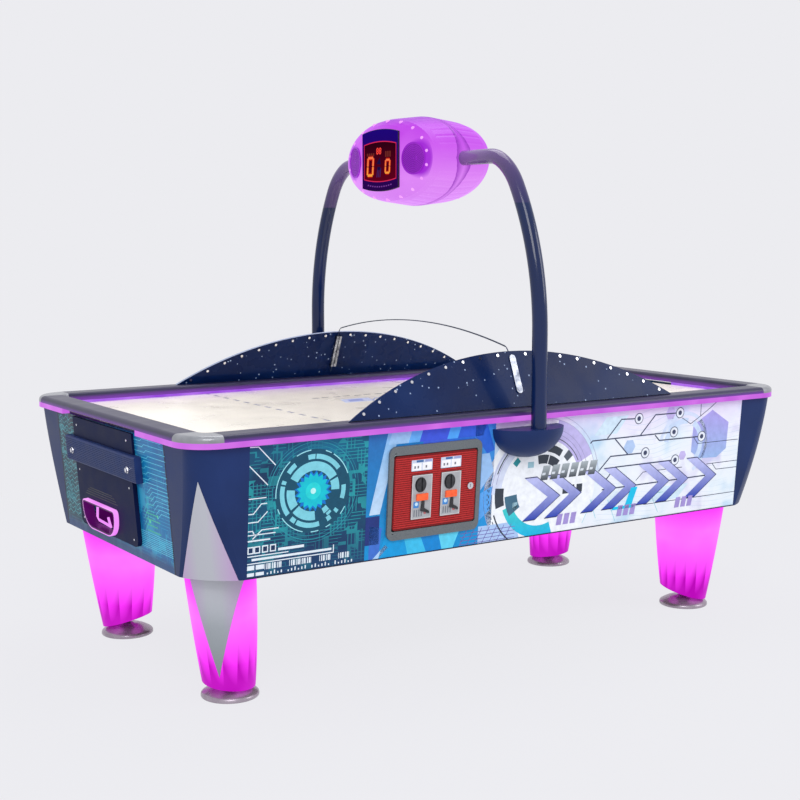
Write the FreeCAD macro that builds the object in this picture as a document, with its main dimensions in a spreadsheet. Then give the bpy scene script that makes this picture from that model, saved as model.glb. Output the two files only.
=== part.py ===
import FreeCAD, Part
import os
import re
import math
import Sketcher
from FreeCAD import Placement, Rotation, Vector

# Air hockey table for an arcade: tapered cabinet on four shell legs, rounded rail with a light
# strip under it, two arched guards with a clear shield between them, and a scoreboard pod that
# two bent tubes carry over the middle of the field.
# Millimetres. X runs along the table, the coin door faces -Y, Z is up, and the origin is on the
# floor under the middle of the table.

SIZES = (
    # the table from above
    ("table_length", 2400),
    ("table_width", 1306),
    ("corner_radius", 110),
    ("neon_overhang", 20),
    ("cabinet_taper", 31),
    ("board", 20),
    ("side_panel_half", 1000),
    ("end_panel_half", 440),
    # heights above the floor
    ("cabinet_bottom", 407),
    ("cabinet_top", 805),
    ("field_top", 806),
    ("rail_lip", 816.5),
    ("rail_foot", 822),
    ("rail_top", 843),
    # corner posts of the cabinet
    ("post_reach_top", 70),
    ("post_reach_bottom", 140),
    ("post_cut_top", 29),
    ("post_cut_bottom", 78),
    ("blade_thickness", 2),
    ("post_blade_width", 170),
    ("post_blade_tip", 710),
    # field, rail and strips
    ("field_half_length", 1140),
    ("field_half_width", 600),
    ("field_thickness", 18),
    ("goal_half", 150),
    ("goal_slot", 28),
    ("strip_depth", 22),
    ("rail_depth", 85),
    ("rail_step", 25),
    ("rail_outer_round", 16),
    ("rail_inner_round", 10),
    ("neon_gap_half", 305),
    # air supply
    ("plenum_half_length", 1085),
    ("plenum_half_width", 560),
    ("plenum_floor", 700),
    ("plenum_wall", 10),
    ("blower_place", 250),
    ("blower_radius", 160),
    ("blower_depth", 96),
    ("sheet_metal", 3),
    ("impeller_radius", 120),
    ("blade_depth", 42),
    ("shaft_radius", 6),
    ("shaft_play", 0.05),
    ("intake_radius", 80),
    ("outlet_radius", 140),
    ("motor_radius", 42),
    ("motor_depth", 80),
    # legs and feet
    ("foot_place_x", 960),
    ("foot_place_y", 402),
    ("leg_top_shift_x", 26),
    ("leg_top_shift_y", -6),
    ("leg_top_along", 132),
    ("leg_top_across", 107),
    ("leg_middle_along", 112),
    ("leg_middle_across", 98),
    ("leg_foot_along", 78),
    ("leg_foot_across", 76),
    ("leg_middle_rise", 225),
    ("leg_hem", 51),
    ("leg_hem_slope", 16.3),
    ("blade_leg_hem", 41.5),
    ("blade_leg_hem_slope", 7.6),
    ("leg_wall", 4),
    ("leg_blade_half", 80),
    ("leg_blade_tip", 84),
    ("leg_post_side", 50),
    ("leg_post_foot", 62),
    ("leg_post_plate", 108),
    ("pad_radius", 89.5),
    ("pad_rim", 14),
    ("pad_crown", 34),
    ("pad_boss", 38),
    ("stem_radius", 8),
    ("stem_play", 0.1),
    ("stem_top", 110),
    # arms and their brackets
    ("arm_spread", 699),
    ("arm_radius", 25),
    ("arm_wall", 3),
    ("arm_foot", 735),
    ("arm_straight_top", 1085),
    ("long_bend", 950),
    ("middle_bend", 210),
    ("short_bend", 115),
    ("long_turn", 30),
    ("middle_turn", 32),
    ("bracket_top", 783),
    ("bracket_drop", 100),
    ("bracket_half", 133),
    ("bracket_out", 105),
    # scoreboard pod
    ("pod_height", 1654),
    ("pod_half_width", 291),
    ("pod_half_height", 155.5),
    ("pod_seam", 1.5),
    ("pod_wall", 4),
    ("arm_notch", 29),
    ("display_width", 230),
    ("display_height", 214),
    ("display_crown", 12),
    ("display_thickness", 6),
    ("display_face", 147),
    ("speaker_radius", 54),
    ("speaker_place", 186),
    ("speaker_depth", 139),
    ("speaker_tilt", 12.4),
    # guards and shield
    ("guard_half", 660),
    ("guard_rise", 188.5),
    ("guard_thickness", 8),
    ("guard_lean", 21.8),
    ("guard_foot", 610),
    ("stud_radius", 5),
    ("stud_height", 3),
    ("stud_inset", 12),
    ("stud_first", 57),
    ("stud_pitch", 72),
    ("shield_foot", 858),
    ("shield_top", 1093),
    ("shield_thickness", 5),
    ("shield_bow", 2426),
    ("shield_corner", 36),
    ("clamp_width", 24),
    ("clamp_depth", 14),
    ("clamp_web", 3),
    ("clamp_length", 131),
    ("clamp_foot", 44),
    ("strap_thickness", 4),
    # coin door, in the plane of the front panel
    ("door_centre_x", -351.5),
    ("door_centre_z", 611),
    ("door_frame_width", 349),
    ("door_frame_height", 296),
    ("door_frame_corner", 25),
    ("door_frame_thickness", 8),
    ("door_width", 315),
    ("door_height", 237),
    ("door_thickness", 6),
    ("door_gap", 1.5),
    ("door_proud", 9),
    ("pin_inset", 4),
    ("pin_radius", 3),
    ("pin_play", 0.05),
    ("pin_length", 9),
    ("plate_width", 75),
    ("plate_height", 140),
    ("plate_thickness", 3),
    ("plate_pitch", 110),
    ("plate_middle", 1.5),
    ("plate_drop", 17),
    ("button_width", 42),
    ("button_height", 21),
    ("button_play", 0.4),
    ("button_length", 13),
    ("button_proud", 18),
    ("lock_radius", 11),
    ("lock_play", 0.1),
    ("lock_inset", 26),
    ("lock_proud", 14),
    ("cam_length", 33),
    # end units, in the plane of the end panel
    ("unit_shift", 28),
    ("bumper_half", 289),
    ("bumper_out", 24),
    ("bumper_foot", 250),
    ("bumper_rise", 82),
    ("bumper_round", 5),
    ("end_plate_half", 246),
    ("end_plate_out", 8),
    ("end_plate_top", 397),
    ("cover_half", 236),
    ("cover_out", 14),
    ("cover_foot", 40),
    ("cover_top", 248),
    ("cover_corner", 24),
    ("return_shift", 39),
    ("return_half", 128),
    ("return_foot", 50),
    ("return_top", 128),
    ("return_corner_top", 8),
    ("return_corner_foot", 62),
    ("bezel_width", 7),
    ("bezel_proud", 15),
    ("bezel_depth", 12),
    ("chute_wall", 4),
    # cash box
    ("cash_length", 220),
    ("cash_width", 150),
    ("cash_height", 90),
    ("cash_wall", 2),
    ("cash_back", 420),
)

HALF_LENGTH = "(table_length/2-neon_overhang)"
HALF_WIDTH = "(table_width/2-neon_overhang)"
HALF_LENGTH_LOW = "(table_length/2-neon_overhang-cabinet_taper)"
HALF_WIDTH_LOW = "(table_width/2-neon_overhang-cabinet_taper)"
LEAN = "atan(cabinet_taper/(cabinet_top-cabinet_bottom))"
AXIS_X = Vector(1, 0, 0)
AXIS_Y = Vector(0, 1, 0)
AXIS_Z = Vector(0, 0, 1)
CORNERS = {"front_left": (-1, -1), "front_right": (1, -1), "rear_left": (-1, 1), "rear_right": (1, 1)}

document = FreeCAD.newDocument("AirHockeyTable")
sheet = document.addObject("Spreadsheet::Sheet", "Sizes")
for row, (alias, number) in enumerate(SIZES, 1):
    sheet.set("A%d" % row, alias)
    sheet.set("B%d" % row, str(number))
    sheet.setAlias("B%d" % row, alias)
document.recompute()

ALIASES = {alias for alias, number in SIZES}
nodes = []


# ---------------------------------------------------------------- helpers

def linked(formula):
    """Write a formula over the sheet's aliases as another object has to read it."""
    return re.sub(r"[a-z_]+", lambda m: "Sizes." + m.group() if m.group() in ALIASES else m.group(), formula)


def size(formula):
    """Number that a formula over the sheet's aliases gives now."""
    result = sheet.evalExpression(formula)
    return float(getattr(result, "Value", result))


def bind(thing, **formulas):
    """Bind properties of an object to formulas over the sheet."""
    for name, formula in formulas.items():
        thing.setExpression(name, linked(formula))


def place(thing, x="0", y="0", z="0"):
    """Bind the position of an object to three formulas."""
    for axis, formula in (("x", x), ("y", y), ("z", z)):
        thing.setExpression("Placement.Base." + axis, linked(formula))
    return thing


def turn(thing, axis, formula):
    """Turn an object about an axis by a bound angle."""
    thing.Placement = Placement(Vector(), Rotation(axis, 1))
    thing.setExpression("Placement.Rotation.Angle", linked(formula))
    return thing


def box(name, length, width, height, x="0", y="0", z="0"):
    """Block from its low corner."""
    block = document.addObject("Part::Box", name)
    bind(block, Length=length, Width=width, Height=height)
    return place(block, x, y, z)


def middle_box(name, half_length, half_width, height, x="0", y="0", z="0"):
    """Block that stands evenly about (x, y)."""
    return box(name, "2*(%s)" % half_length, "2*(%s)" % half_width, height,
               "%s-(%s)" % (x, half_length), "%s-(%s)" % (y, half_width), z)


def cylinder(name, radius, height, x="0", y="0", z="0", axis=None, angle="90"):
    """Cylinder that stands on (x, y, z), along Z or turned about an axis."""
    rod = document.addObject("Part::Cylinder", name)
    bind(rod, Radius=radius, Height=height)
    if axis is not None:
        turn(rod, axis, angle)
    return place(rod, x, y, z)


def boolean(kind, name, first, *others):
    """Cut, fuse or intersect: several tools are fused first for a cut."""
    if kind == "Part::Cut":
        tool = others[0] if len(others) == 1 else boolean("Part::MultiFuse", name + "_tool", *others)
        result = document.addObject(kind, name)
        result.Base = first
        result.Tool = tool
    else:
        result = document.addObject(kind, name)
        result.Shapes = [first, *others]
    return result


def cut(name, first, *tools):
    return boolean("Part::Cut", name, first, *tools)


def fuse(name, *pieces):
    return boolean("Part::MultiFuse", name, *pieces)


def common(name, *pieces):
    return boolean("Part::MultiCommon", name, *pieces)


def rounded_along_x(name, base, radius_at):
    """Round the edges that run along X: radius_at gives the radius for an edge's height, or 0."""
    document.recompute()
    edges = []
    for i, edge in enumerate(base.Shape.Edges, 1):
        level = edge.BoundBox.YLength < 1e-6 and edge.BoundBox.ZLength < 1e-6
        radius = radius_at(edge.Vertexes[0].Z) if level else 0
        if radius:
            edges.append((i, radius, radius))
    rounded = document.addObject("Part::Fillet", name)
    rounded.Base = base
    rounded.Edges = edges
    return rounded


def group(name, pieces):
    """Several equal pieces that share one node."""
    bundle = document.addObject("Part::Compound", name)
    bundle.Links = pieces
    return bundle


def shape_feature(name, shape):
    """Feature whose shape is worked out from the sheet."""
    feature = document.addObject("Part::Feature", name)
    feature.Shape = shape
    return feature


def node(thing, label):
    """Name a finished sub-part."""
    thing.Label = label
    nodes.append(thing)
    return thing


def origin_plane(body, role):
    """One of a body's own origin planes."""
    return next(item for item in body.Origin.OriginFeatures if item.Role == role)


def outline_sketch(body, role, corners):
    """Closed outline whose corners are each held by two formulas."""
    sketch = body.newObject("Sketcher::SketchObject", body.Name + "_sketch")
    sketch.AttachmentSupport = [(origin_plane(body, role), "")]
    sketch.MapMode = "FlatFace"
    points = [Vector(size(a), size(b), 0) for a, b in corners]
    last = len(points) - 1
    for i, point in enumerate(points):
        sketch.addGeometry(Part.LineSegment(point, points[0 if i == last else i + 1]), False)
    for i in range(len(points)):
        sketch.addConstraint(Sketcher.Constraint("Coincident", i, 2, 0 if i == last else i + 1, 1))
    for i, corner in enumerate(corners):
        for kind, formula in zip(("DistanceX", "DistanceY"), corner):
            number = sketch.addConstraint(Sketcher.Constraint(kind, -1, 1, i, 1, size(formula)))
            sketch.setExpression("Constraints[%d]" % number, linked(formula))
    return sketch


def prism(name, role, corners, length, start="0"):
    """Body with one padded outline, which begins at start along the pad's own axis."""
    body = document.addObject("PartDesign::Body", name)
    pad = body.newObject("PartDesign::Pad", name + "_pad")
    pad.Profile = outline_sketch(body, role, corners)
    bind(pad, Length=length)
    if role == "XY_Plane":
        place(body, z=start)
    elif role == "YZ_Plane":
        place(body, x=start)
    else:
        place(body, y="%s+%s" % (start, length))
    document.recompute()
    return body


def round_edges(body, radius, wanted):
    """Fillet the edges of the body's last feature whose middle satisfies wanted(point)."""
    base = body.Tip
    names = []
    for i, edge in enumerate(base.Shape.Edges, 1):
        if wanted(edge.valueAt((edge.FirstParameter + edge.LastParameter) / 2)):
            names.append("Edge%d" % i)
    fillet = body.newObject("PartDesign::Fillet", body.Name + "_round")
    fillet.Base = (base, names)
    bind(fillet, Radius=radius)
    document.recompute()
    return body


def rounded_plate(name, role, half_a, half_b, length, radius, start="0", middle_a="0", middle_b="0"):
    """Rectangular plate with its four corners rounded."""
    corners = [("%s%s(%s)" % (middle_a, s, half_a), "%s%s(%s)" % (middle_b, c, half_b))
               for s, c in (("-", "-"), ("+", "-"), ("+", "+"), ("-", "+"))]
    body = prism(name, role, corners, length, start)
    normal = {"XY_Plane": 2, "XZ_Plane": 1, "YZ_Plane": 0}[role]
    thickness = size(length)
    low = min(vertex.Point[normal] for vertex in body.Tip.Shape.Vertexes)
    return round_edges(body, radius, lambda point: abs(point[normal] - low - thickness / 2) < 1e-6)


def revolved(name, corners, angle="360"):
    """Body whose outline, (radius, height) pairs, turns about Z."""
    body = document.addObject("PartDesign::Body", name)
    sketch = outline_sketch(body, "XZ_Plane", corners)
    feature = body.newObject("PartDesign::Revolution", name + "_turn")
    feature.Profile = sketch
    feature.ReferenceAxis = (sketch, ["V_Axis"])
    bind(feature, Angle=angle)
    document.recompute()
    return body


# ---------------------------------------------------------------- cabinet

def side_panel(name, side):
    """Long board that leans in towards its foot."""
    faces = (("%d*%s" % (side, HALF_WIDTH), "cabinet_top"),
             ("%d*%s" % (side, HALF_WIDTH_LOW), "cabinet_bottom"),
             ("%d*(%s-board)" % (side, HALF_WIDTH_LOW), "cabinet_bottom"),
             ("%d*(%s-board)" % (side, HALF_WIDTH), "cabinet_top"))
    return prism(name, "YZ_Plane", faces, "2*side_panel_half", "-side_panel_half")


def end_panel(name, side):
    """Short board with the hole that the puck comes back through."""
    faces = (("%d*%s" % (side, HALF_LENGTH), "cabinet_top"),
             ("%d*%s" % (side, HALF_LENGTH_LOW), "cabinet_bottom"),
             ("%d*(%s-board)" % (side, HALF_LENGTH_LOW), "cabinet_bottom"),
             ("%d*(%s-board)" % (side, HALF_LENGTH), "cabinet_top"))
    panel = prism(name + "_board", "XZ_Plane", faces, "2*end_panel_half", "-end_panel_half")
    hole = middle_box(name + "_hole", "board*3", "return_half", "return_top-return_foot",
                      x="%d*%s" % (side, HALF_LENGTH_LOW), y="%d*(unit_shift+return_shift)" % -side,
                      z="cabinet_bottom+return_foot")
    return cut(name, panel, hole)


def on_front_panel(thing):
    """Lay a piece that was drawn upright at the door's middle onto the leaning front panel."""
    rise = "(door_centre_z-cabinet_bottom)/(cabinet_top-cabinet_bottom)"
    turn(thing, AXIS_X, LEAN)
    return place(thing, x="door_centre_x", y="-(%s+cabinet_taper*%s)" % (HALF_WIDTH_LOW, rise),
                 z="door_centre_z")


def make_cabinet():
    front = side_panel("front_board", -1)
    opening = middle_box("door_opening", "door_frame_width/2-8", "board*3", "door_frame_height-16",
                         z="-(door_frame_height/2-8)")
    laid_opening = on_front_panel(group("laid_opening", [opening]))
    node(cut("front_panel", front, laid_opening), "side_panel_front")
    node(side_panel("rear_panel", 1), "side_panel_rear")
    node(end_panel("left_panel", -1), "end_panel_left")
    node(end_panel("right_panel", 1), "end_panel_right")
    floor = rounded_plate("floor_board", "XY_Plane", HALF_LENGTH_LOW + "-board", HALF_WIDTH_LOW + "-board",
                          "board-2", "post_reach_bottom+40", "cabinet_bottom")
    node(floor, "bottom_board")


# ---------------------------------------------------------------- corner posts

def post_level(share):
    """Outline figures of a corner post at a share of its height, 0 at the top and 1 at the foot."""
    x = size(HALF_LENGTH) - size("cabinet_taper") * share
    y = size(HALF_WIDTH) - size("cabinet_taper") * share
    z = size("cabinet_top") - size("cabinet_top-cabinet_bottom") * share
    bow = share ** 1.8
    reach = size("post_reach_top") + size("post_reach_bottom-post_reach_top") * bow
    inset = size("post_cut_top") + size("post_cut_bottom-post_cut_top") * bow
    return x, y, z, reach, inset


def post_path(share, depth, sx, sy):
    """Three edges round a corner, depth inside the outer face: side face, bend, end face."""
    x, y, z, reach, inset = post_level(share)
    middle = (inset + depth) / math.sqrt(2)
    points = [(size("side_panel_half"), y - depth), (x - reach, y - depth), (x - middle, y - middle),
              (x - depth, y - reach), (x - depth, size("end_panel_half"))]
    a, b, c, d, e = [Vector(sx * px, sy * py, z) for px, py in points]
    return [a, b, c, d, e]


def post_band(sx, sy, outer, inner):
    """Solid band round a corner of the cabinet, between two depths from its outer face."""
    wires = []
    for share in (0, 0.25, 0.5, 0.75, 1):
        a, b, c, d, e = post_path(share, outer, sx, sy)
        f, g, i, j, k = post_path(share, inner, sx, sy)
        edges = [Part.makeLine(a, b), Part.Arc(b, c, d).toShape(), Part.makeLine(d, e), Part.makeLine(e, k),
                 Part.makeLine(k, j), Part.Arc(j, i, g).toShape(), Part.makeLine(g, f), Part.makeLine(f, a)]
        wires.append(Part.Wire(edges))
    return Part.makeLoft(wires, True, False)


def blade_wedge(sx, sy, base_half, base_z, tip_z):
    """Long triangular bar through a corner, along the diagonal, that cuts a blade's outline."""
    along = Vector(sx, sy, 0).normalize()
    across = Vector(-along.y, along.x, 0)
    back = Vector(sx * size("foot_place_x"), sy * size("foot_place_y"), 0)
    points = [back - across * base_half, back + across * base_half, back]
    points[0].z = points[1].z = base_z
    points[2].z = tip_z
    face = Part.Face(Part.makePolygon(points + [points[0]]))
    return face.extrude(along * 800)


def make_corner_posts():
    blades = []
    for name, (sx, sy) in CORNERS.items():
        post = shape_feature("post_" + name, post_band(sx, sy, 0, size("board")))
        node(post, "corner_post_" + name)
        if not has_blades(sx, sy):
            continue
        x, y, z, reach, inset = post_level(1)
        drift = ((x - reach / 2) - (y - reach / 2) - size("foot_place_x-foot_place_y")) / 2
        wedge = blade_wedge(sx, sy, size("post_blade_width/2"), size("cabinet_bottom"),
                            size("post_blade_tip"))
        wedge.translate(Vector(sx * drift, -sy * drift, 0))
        skin = post_band(sx, sy, -size("blade_thickness"), 0)
        blades.append(shape_feature("post_blade_" + name, skin.common(wedge)))
    node(group("post_blades", blades), "corner_post_blades")


# ---------------------------------------------------------------- legs and feet

def leg_body(sx, sy, grow):
    """Solid tapering leg: ellipses whose long axis lies on the diagonal, grown by grow."""
    angle = math.degrees(math.atan2(sy, sx))
    foot_x, foot_y = size("foot_place_x"), size("foot_place_y")
    shift_x, shift_y = size("leg_top_shift_x"), size("leg_top_shift_y")
    levels = (("leg_foot", 0, 0.0), ("leg_middle", size("leg_middle_rise"), 0.5),
              ("leg_top", size("cabinet_bottom"), 1.0))
    wires = []
    for part, z, share in levels:
        centre = Vector(sx * (foot_x + shift_x * share), sy * (foot_y + shift_y * share), z)
        along, across = size(part + "_along") + grow, size(part + "_across") + grow
        ring = Part.Ellipse(Vector(), along, across).toShape()
        ring.Placement = Placement(centre, Rotation(AXIS_Z, angle))
        wires.append(Part.Wire([ring]))
    return Part.makeLoft(wires, True, False)


def has_blades(sx, sy):
    """Front left and rear right corners carry silver blades."""
    return sx * sy > 0


def hem_cutter(sx, sy):
    """Block under the slanted hem of a leg: lower outside, or lower to one side on a leg with a blade."""
    part = "blade_leg_hem" if has_blades(sx, sy) else "leg_hem"
    low_x = -sx if has_blades(sx, sy) else sx
    block = Part.makeBox(600, 600, 400, Vector(-300, -300, -400))
    block.rotate(Vector(), AXIS_Y, size(part + "_slope"))
    block.rotate(Vector(), AXIS_Z, math.degrees(math.atan2(sy, low_x)))
    block.translate(Vector(sx * size("foot_place_x"), sy * size("foot_place_y"), size(part)))
    return block


def leg_post(name, sx, sy):
    """Square tube with a top plate and a threaded plug at its foot."""
    x, y = "%d*foot_place_x" % sx, "%d*foot_place_y" % sy
    half = "leg_post_side/2"
    tube = cut(name + "_tube",
               middle_box(name + "_outer", half, half, "cabinet_bottom-leg_post_foot", x, y, "leg_post_foot"),
               middle_box(name + "_inner", half + "-3", half + "-3", "cabinet_bottom-leg_post_foot-22", x, y,
                          "leg_post_foot+16"),
               cylinder(name + "_thread", "stem_radius+stem_play", "40", x, y, "leg_post_foot-10"))
    plate = middle_box(name + "_plate", "leg_post_plate/2", "leg_post_plate/2", "6", x, y, "cabinet_bottom-6")
    return fuse(name, tube, plate)


def foot_pad(name, sx, sy):
    """Round dished foot with a boss that the stem turns in."""
    bore = "stem_radius+stem_play"
    outline = (("0", "0"), ("pad_radius-1.5", "0"), ("pad_radius", "3"), ("pad_radius", "pad_rim-6"),
               ("pad_radius-4", "pad_rim"), ("pad_radius*0.72", "pad_rim+(pad_crown-pad_rim)*0.62"),
               ("pad_radius*0.5", "pad_rim+(pad_crown-pad_rim)*0.9"), ("stem_radius+16", "pad_crown"),
               ("stem_radius+8", "pad_boss"), (bore, "pad_boss"), (bore, "pad_rim"), ("0", "pad_rim"))
    pad = revolved(name, outline)
    return place(pad, "%d*foot_place_x" % sx, "%d*foot_place_y" % sy)


def foot_stem(name, sx, sy):
    """Threaded stem with a hexagon for the spanner."""
    x, y = "%d*foot_place_x" % sx, "%d*foot_place_y" % sy
    rod = cylinder(name + "_rod", "stem_radius", "stem_top-pad_rim", x, y, "pad_rim")
    nut = document.addObject("Part::Prism", name + "_nut")
    nut.Polygon = 6
    bind(nut, Circumradius="stem_radius*1.7", Height="9")
    place(nut, x, y, "pad_boss+1")
    return fuse(name, rod, nut)


def make_legs():
    posts = []
    blades = []
    skin_gap = size("blade_thickness")
    for name, (sx, sy) in CORNERS.items():
        below = hem_cutter(sx, sy)
        outer = leg_body(sx, sy, 0)
        shell = outer.cut(leg_body(sx, sy, -size("leg_wall"))).cut(below)
        node(shape_feature("leg_" + name, shell), "leg_shell_" + name)
        if has_blades(sx, sy):
            wedge = blade_wedge(sx, sy, size("leg_blade_half"), size("cabinet_bottom"), size("leg_blade_tip"))
            skin = leg_body(sx, sy, skin_gap).cut(outer).cut(below)
            blades.append(shape_feature("leg_blade_" + name, skin.common(wedge)))
        posts.append(leg_post("leg_post_" + name, sx, sy))
        node(foot_pad("pad_" + name, sx, sy), "foot_pad_" + name)
        node(foot_stem("stem_" + name, sx, sy), "foot_stem_" + name)
    node(group("leg_blade_group", blades), "leg_blades")
    node(group("leg_post_group", posts), "leg_posts")


# ---------------------------------------------------------------- field, rail and strips

def make_field():
    length, width, slot = "field_half_length", "field_half_width", "field_half_length-goal_slot"
    corners = []
    for sx, sy in ((1, 1), (-1, 1), (-1, -1), (1, -1)):
        outer = ("%d*%s" % (sx, length), "%d*%s" % (sy, width))
        mouth = ("%d*%s" % (sx, length), "%d*goal_half" % sy)
        throat = ("%d*(%s)" % (sx, slot), "%d*goal_half" % sy)
        corners += [throat, mouth, outer] if sx * sy > 0 else [outer, mouth, throat]
    field = prism("field", "XY_Plane", corners, "field_thickness", "field_top-field_thickness")
    node(field, "playfield")

    rise = "rail_lip-field_top"
    strips = []
    for side in (-1, 1):
        strips.append(middle_box("long_strip_%d" % (side + 1), length, "strip_depth/2", rise,
                                 y="%d*(%s-strip_depth/2)" % (side, width), z="field_top"))
        for end in (-1, 1):
            half = "(%s-strip_depth-goal_half)/2" % width
            strips.append(middle_box("short_strip_%d_%d" % (side + 1, end + 1), "strip_depth/2", half, rise,
                                     x="%d*(%s-strip_depth/2)" % (end, length),
                                     y="%d*(goal_half+%s)" % (side, half), z="field_top"))
    node(group("strips", strips), "field_light_strips")


def rail_outline(edge, sign=1):
    """Section of the rail from its outer edge inwards, stepped to sit on both light strips."""
    inner, step = "%s-rail_depth" % edge, "%s-rail_step" % edge
    places = ((edge, "rail_foot"), (step, "rail_foot"), (step, "rail_lip"), (inner, "rail_lip"),
              (inner, "rail_top"), (edge, "rail_top"))
    return [("%d*(%s)" % (sign, across), up) for across, up in places]


def round_rail(body, outer, inner, across):
    """Round the rail's two top edges; across gives a point's distance from the rail's root."""
    top = size("rail_top")

    def near(target):
        return lambda point: abs(point.z - top) < 1e-6 and abs(across(point) - target) < 1e-6

    round_edges(body, "rail_outer_round", near(outer))
    round_edges(body, "rail_inner_round", near(inner))
    return body


CORNER_TURNS = {"front_left": 180, "front_right": 270, "rear_left": 90, "rear_right": 0}


def on_corner(bend, name, sx, sy):
    """Move a quarter ring, drawn about the origin, to the middle of one rounded corner."""
    bend.Placement = Placement(Vector(), Rotation(AXIS_Z, CORNER_TURNS[name]))
    return place(bend, "%d*(table_length/2-corner_radius)" % sx, "%d*(table_width/2-corner_radius)" % sy)


def make_rails():
    depth = size("rail_depth")
    for label, side in (("rail_front", -1), ("rail_rear", 1)):
        edge = size("table_width/2")
        rail = prism(label + "_body", "YZ_Plane", rail_outline("table_width/2", side),
                     "table_length-2*corner_radius", "-(table_length/2-corner_radius)")
        node(round_rail(rail, edge, edge - depth, lambda point: abs(point.y)), label)
    for label, side in (("rail_left", -1), ("rail_right", 1)):
        edge = size("table_length/2")
        rail = prism(label + "_body", "XZ_Plane", rail_outline("table_length/2", side),
                     "table_width-2*corner_radius", "-(table_width/2-corner_radius)")
        node(round_rail(rail, edge, edge - depth, lambda point: abs(point.x)), label)
    caps = []
    for name, (sx, sy) in CORNERS.items():
        cap = revolved("cap_" + name, rail_outline("corner_radius"), "90")
        edge = size("corner_radius")
        round_rail(cap, edge, edge - depth, lambda point: math.hypot(point.x, point.y))
        caps.append(on_corner(cap, name, sx, sy))
    node(group("caps", caps), "rail_corner_caps")


def make_neon():
    """Light strip under the rail: straight bars and quarter bends, left out behind the end units."""
    rise, foot, deep = "rail_foot-cabinet_top", "cabinet_top", "rail_step/2"
    bars = []
    for side in (-1, 1):
        bars.append(middle_box("neon_long_%d" % (side + 1), "table_length/2-corner_radius", deep, rise,
                               y="%d*(table_width/2-rail_step/2)" % side, z=foot))
        for end in (-1, 1):
            start = "(neon_gap_half-%d*unit_shift)" % (side * end)
            half = "(table_width/2-corner_radius-%s)/2" % start
            bars.append(middle_box("neon_short_%d_%d" % (side + 1, end + 1), deep, half, rise,
                                   x="%d*(table_length/2-rail_step/2)" % end,
                                   y="%d*(%s+%s)" % (side, start, half), z=foot))
    section = [("corner_radius", foot), ("corner_radius", "rail_foot"),
               ("corner_radius-rail_step", "rail_foot"), ("corner_radius-rail_step", foot)]
    for name, (sx, sy) in CORNERS.items():
        bars.append(on_corner(revolved("neon_bend_" + name, section, "90"), name, sx, sy))
    node(group("neon", bars), "neon_strips")


# ---------------------------------------------------------------- air supply

def make_air_supply():
    floor, wall = "plenum_floor", "plenum_wall"
    rise = "field_top-field_thickness-plenum_floor"
    tray = middle_box("plenum_outer", "plenum_half_length", "plenum_half_width", rise, z=floor)
    hollow = middle_box("plenum_inner", "plenum_half_length-" + wall, "plenum_half_width-" + wall, rise,
                        z="%s+%s" % (floor, wall))
    hole = cylinder("plenum_hole", "outlet_radius", "30", x="blower_place", z=floor + "-5")
    node(cut("plenum_tray", tray, hollow, hole), "plenum")

    foot = floor + "-blower_depth"
    case = cut("blower_case",
               cylinder("case_outer", "blower_radius", "blower_depth", "blower_place", "0", foot),
               cylinder("case_inner", "blower_radius-sheet_metal", "blower_depth", "blower_place", "0",
                        foot + "+sheet_metal"),
               cylinder("case_intake", "intake_radius", "20", "blower_place", "0", foot + "-5"))
    node(case, "blower_housing")

    node(make_impeller(foot), "impeller")

    motor_foot = foot + "-motor_depth-6"
    can = cylinder("motor_can", "motor_radius", "motor_depth", "blower_place", "0", motor_foot)
    shaft = cylinder("motor_shaft", "shaft_radius", "motor_depth+70", "blower_place", "0", motor_foot)
    arms = []
    for i in range(3):
        arm = box("motor_arm_%d" % i, "intake_radius+14", "16", "6")
        turn(arm, AXIS_Z, "%d" % (120 * i))
        arms.append(place(arm, "blower_place", "0", foot + "-6"))
    node(fuse("motor", can, shaft, *arms), "blower_motor")


def make_impeller(foot):
    """Back plate, hub and a ring of blades; the blades are one pad repeated round the shaft."""
    body = document.addObject("PartDesign::Body", "impeller_body")
    bore, hub = "shaft_radius+shaft_play", "shaft_radius+12"
    outline = ((bore, "0"), (hub, "0"), (hub, "blade_depth"), ("impeller_radius", "blade_depth"),
               ("impeller_radius", "blade_depth+3"), (bore, "blade_depth+3"))
    sketch = outline_sketch(body, "XZ_Plane", outline)
    turned = body.newObject("PartDesign::Revolution", "impeller_turn")
    turned.Profile = sketch
    turned.ReferenceAxis = (sketch, ["V_Axis"])
    bind(turned, Angle="360")
    blade = body.newObject("PartDesign::Pad", "impeller_blade")
    vane = (("impeller_radius*0.42", "-1.5"), ("impeller_radius-1", "12"),
            ("impeller_radius-2", "16"), ("impeller_radius*0.42", "1.5"))
    blade.Profile = outline_sketch(body, "XY_Plane", vane)
    bind(blade, Length="blade_depth+1")
    document.recompute()
    ring = body.newObject("PartDesign::PolarPattern", "impeller_ring")
    ring.Originals = [blade]
    ring.Axis = (next(item for item in body.Origin.OriginFeatures if item.Role == "Z_Axis"), [""])
    ring.Angle = 360
    ring.Occurrences = 12
    body.Tip = ring
    place(body, "blower_place", "0", foot + "+18")
    document.recompute()
    return body


# ---------------------------------------------------------------- arms and brackets

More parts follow.
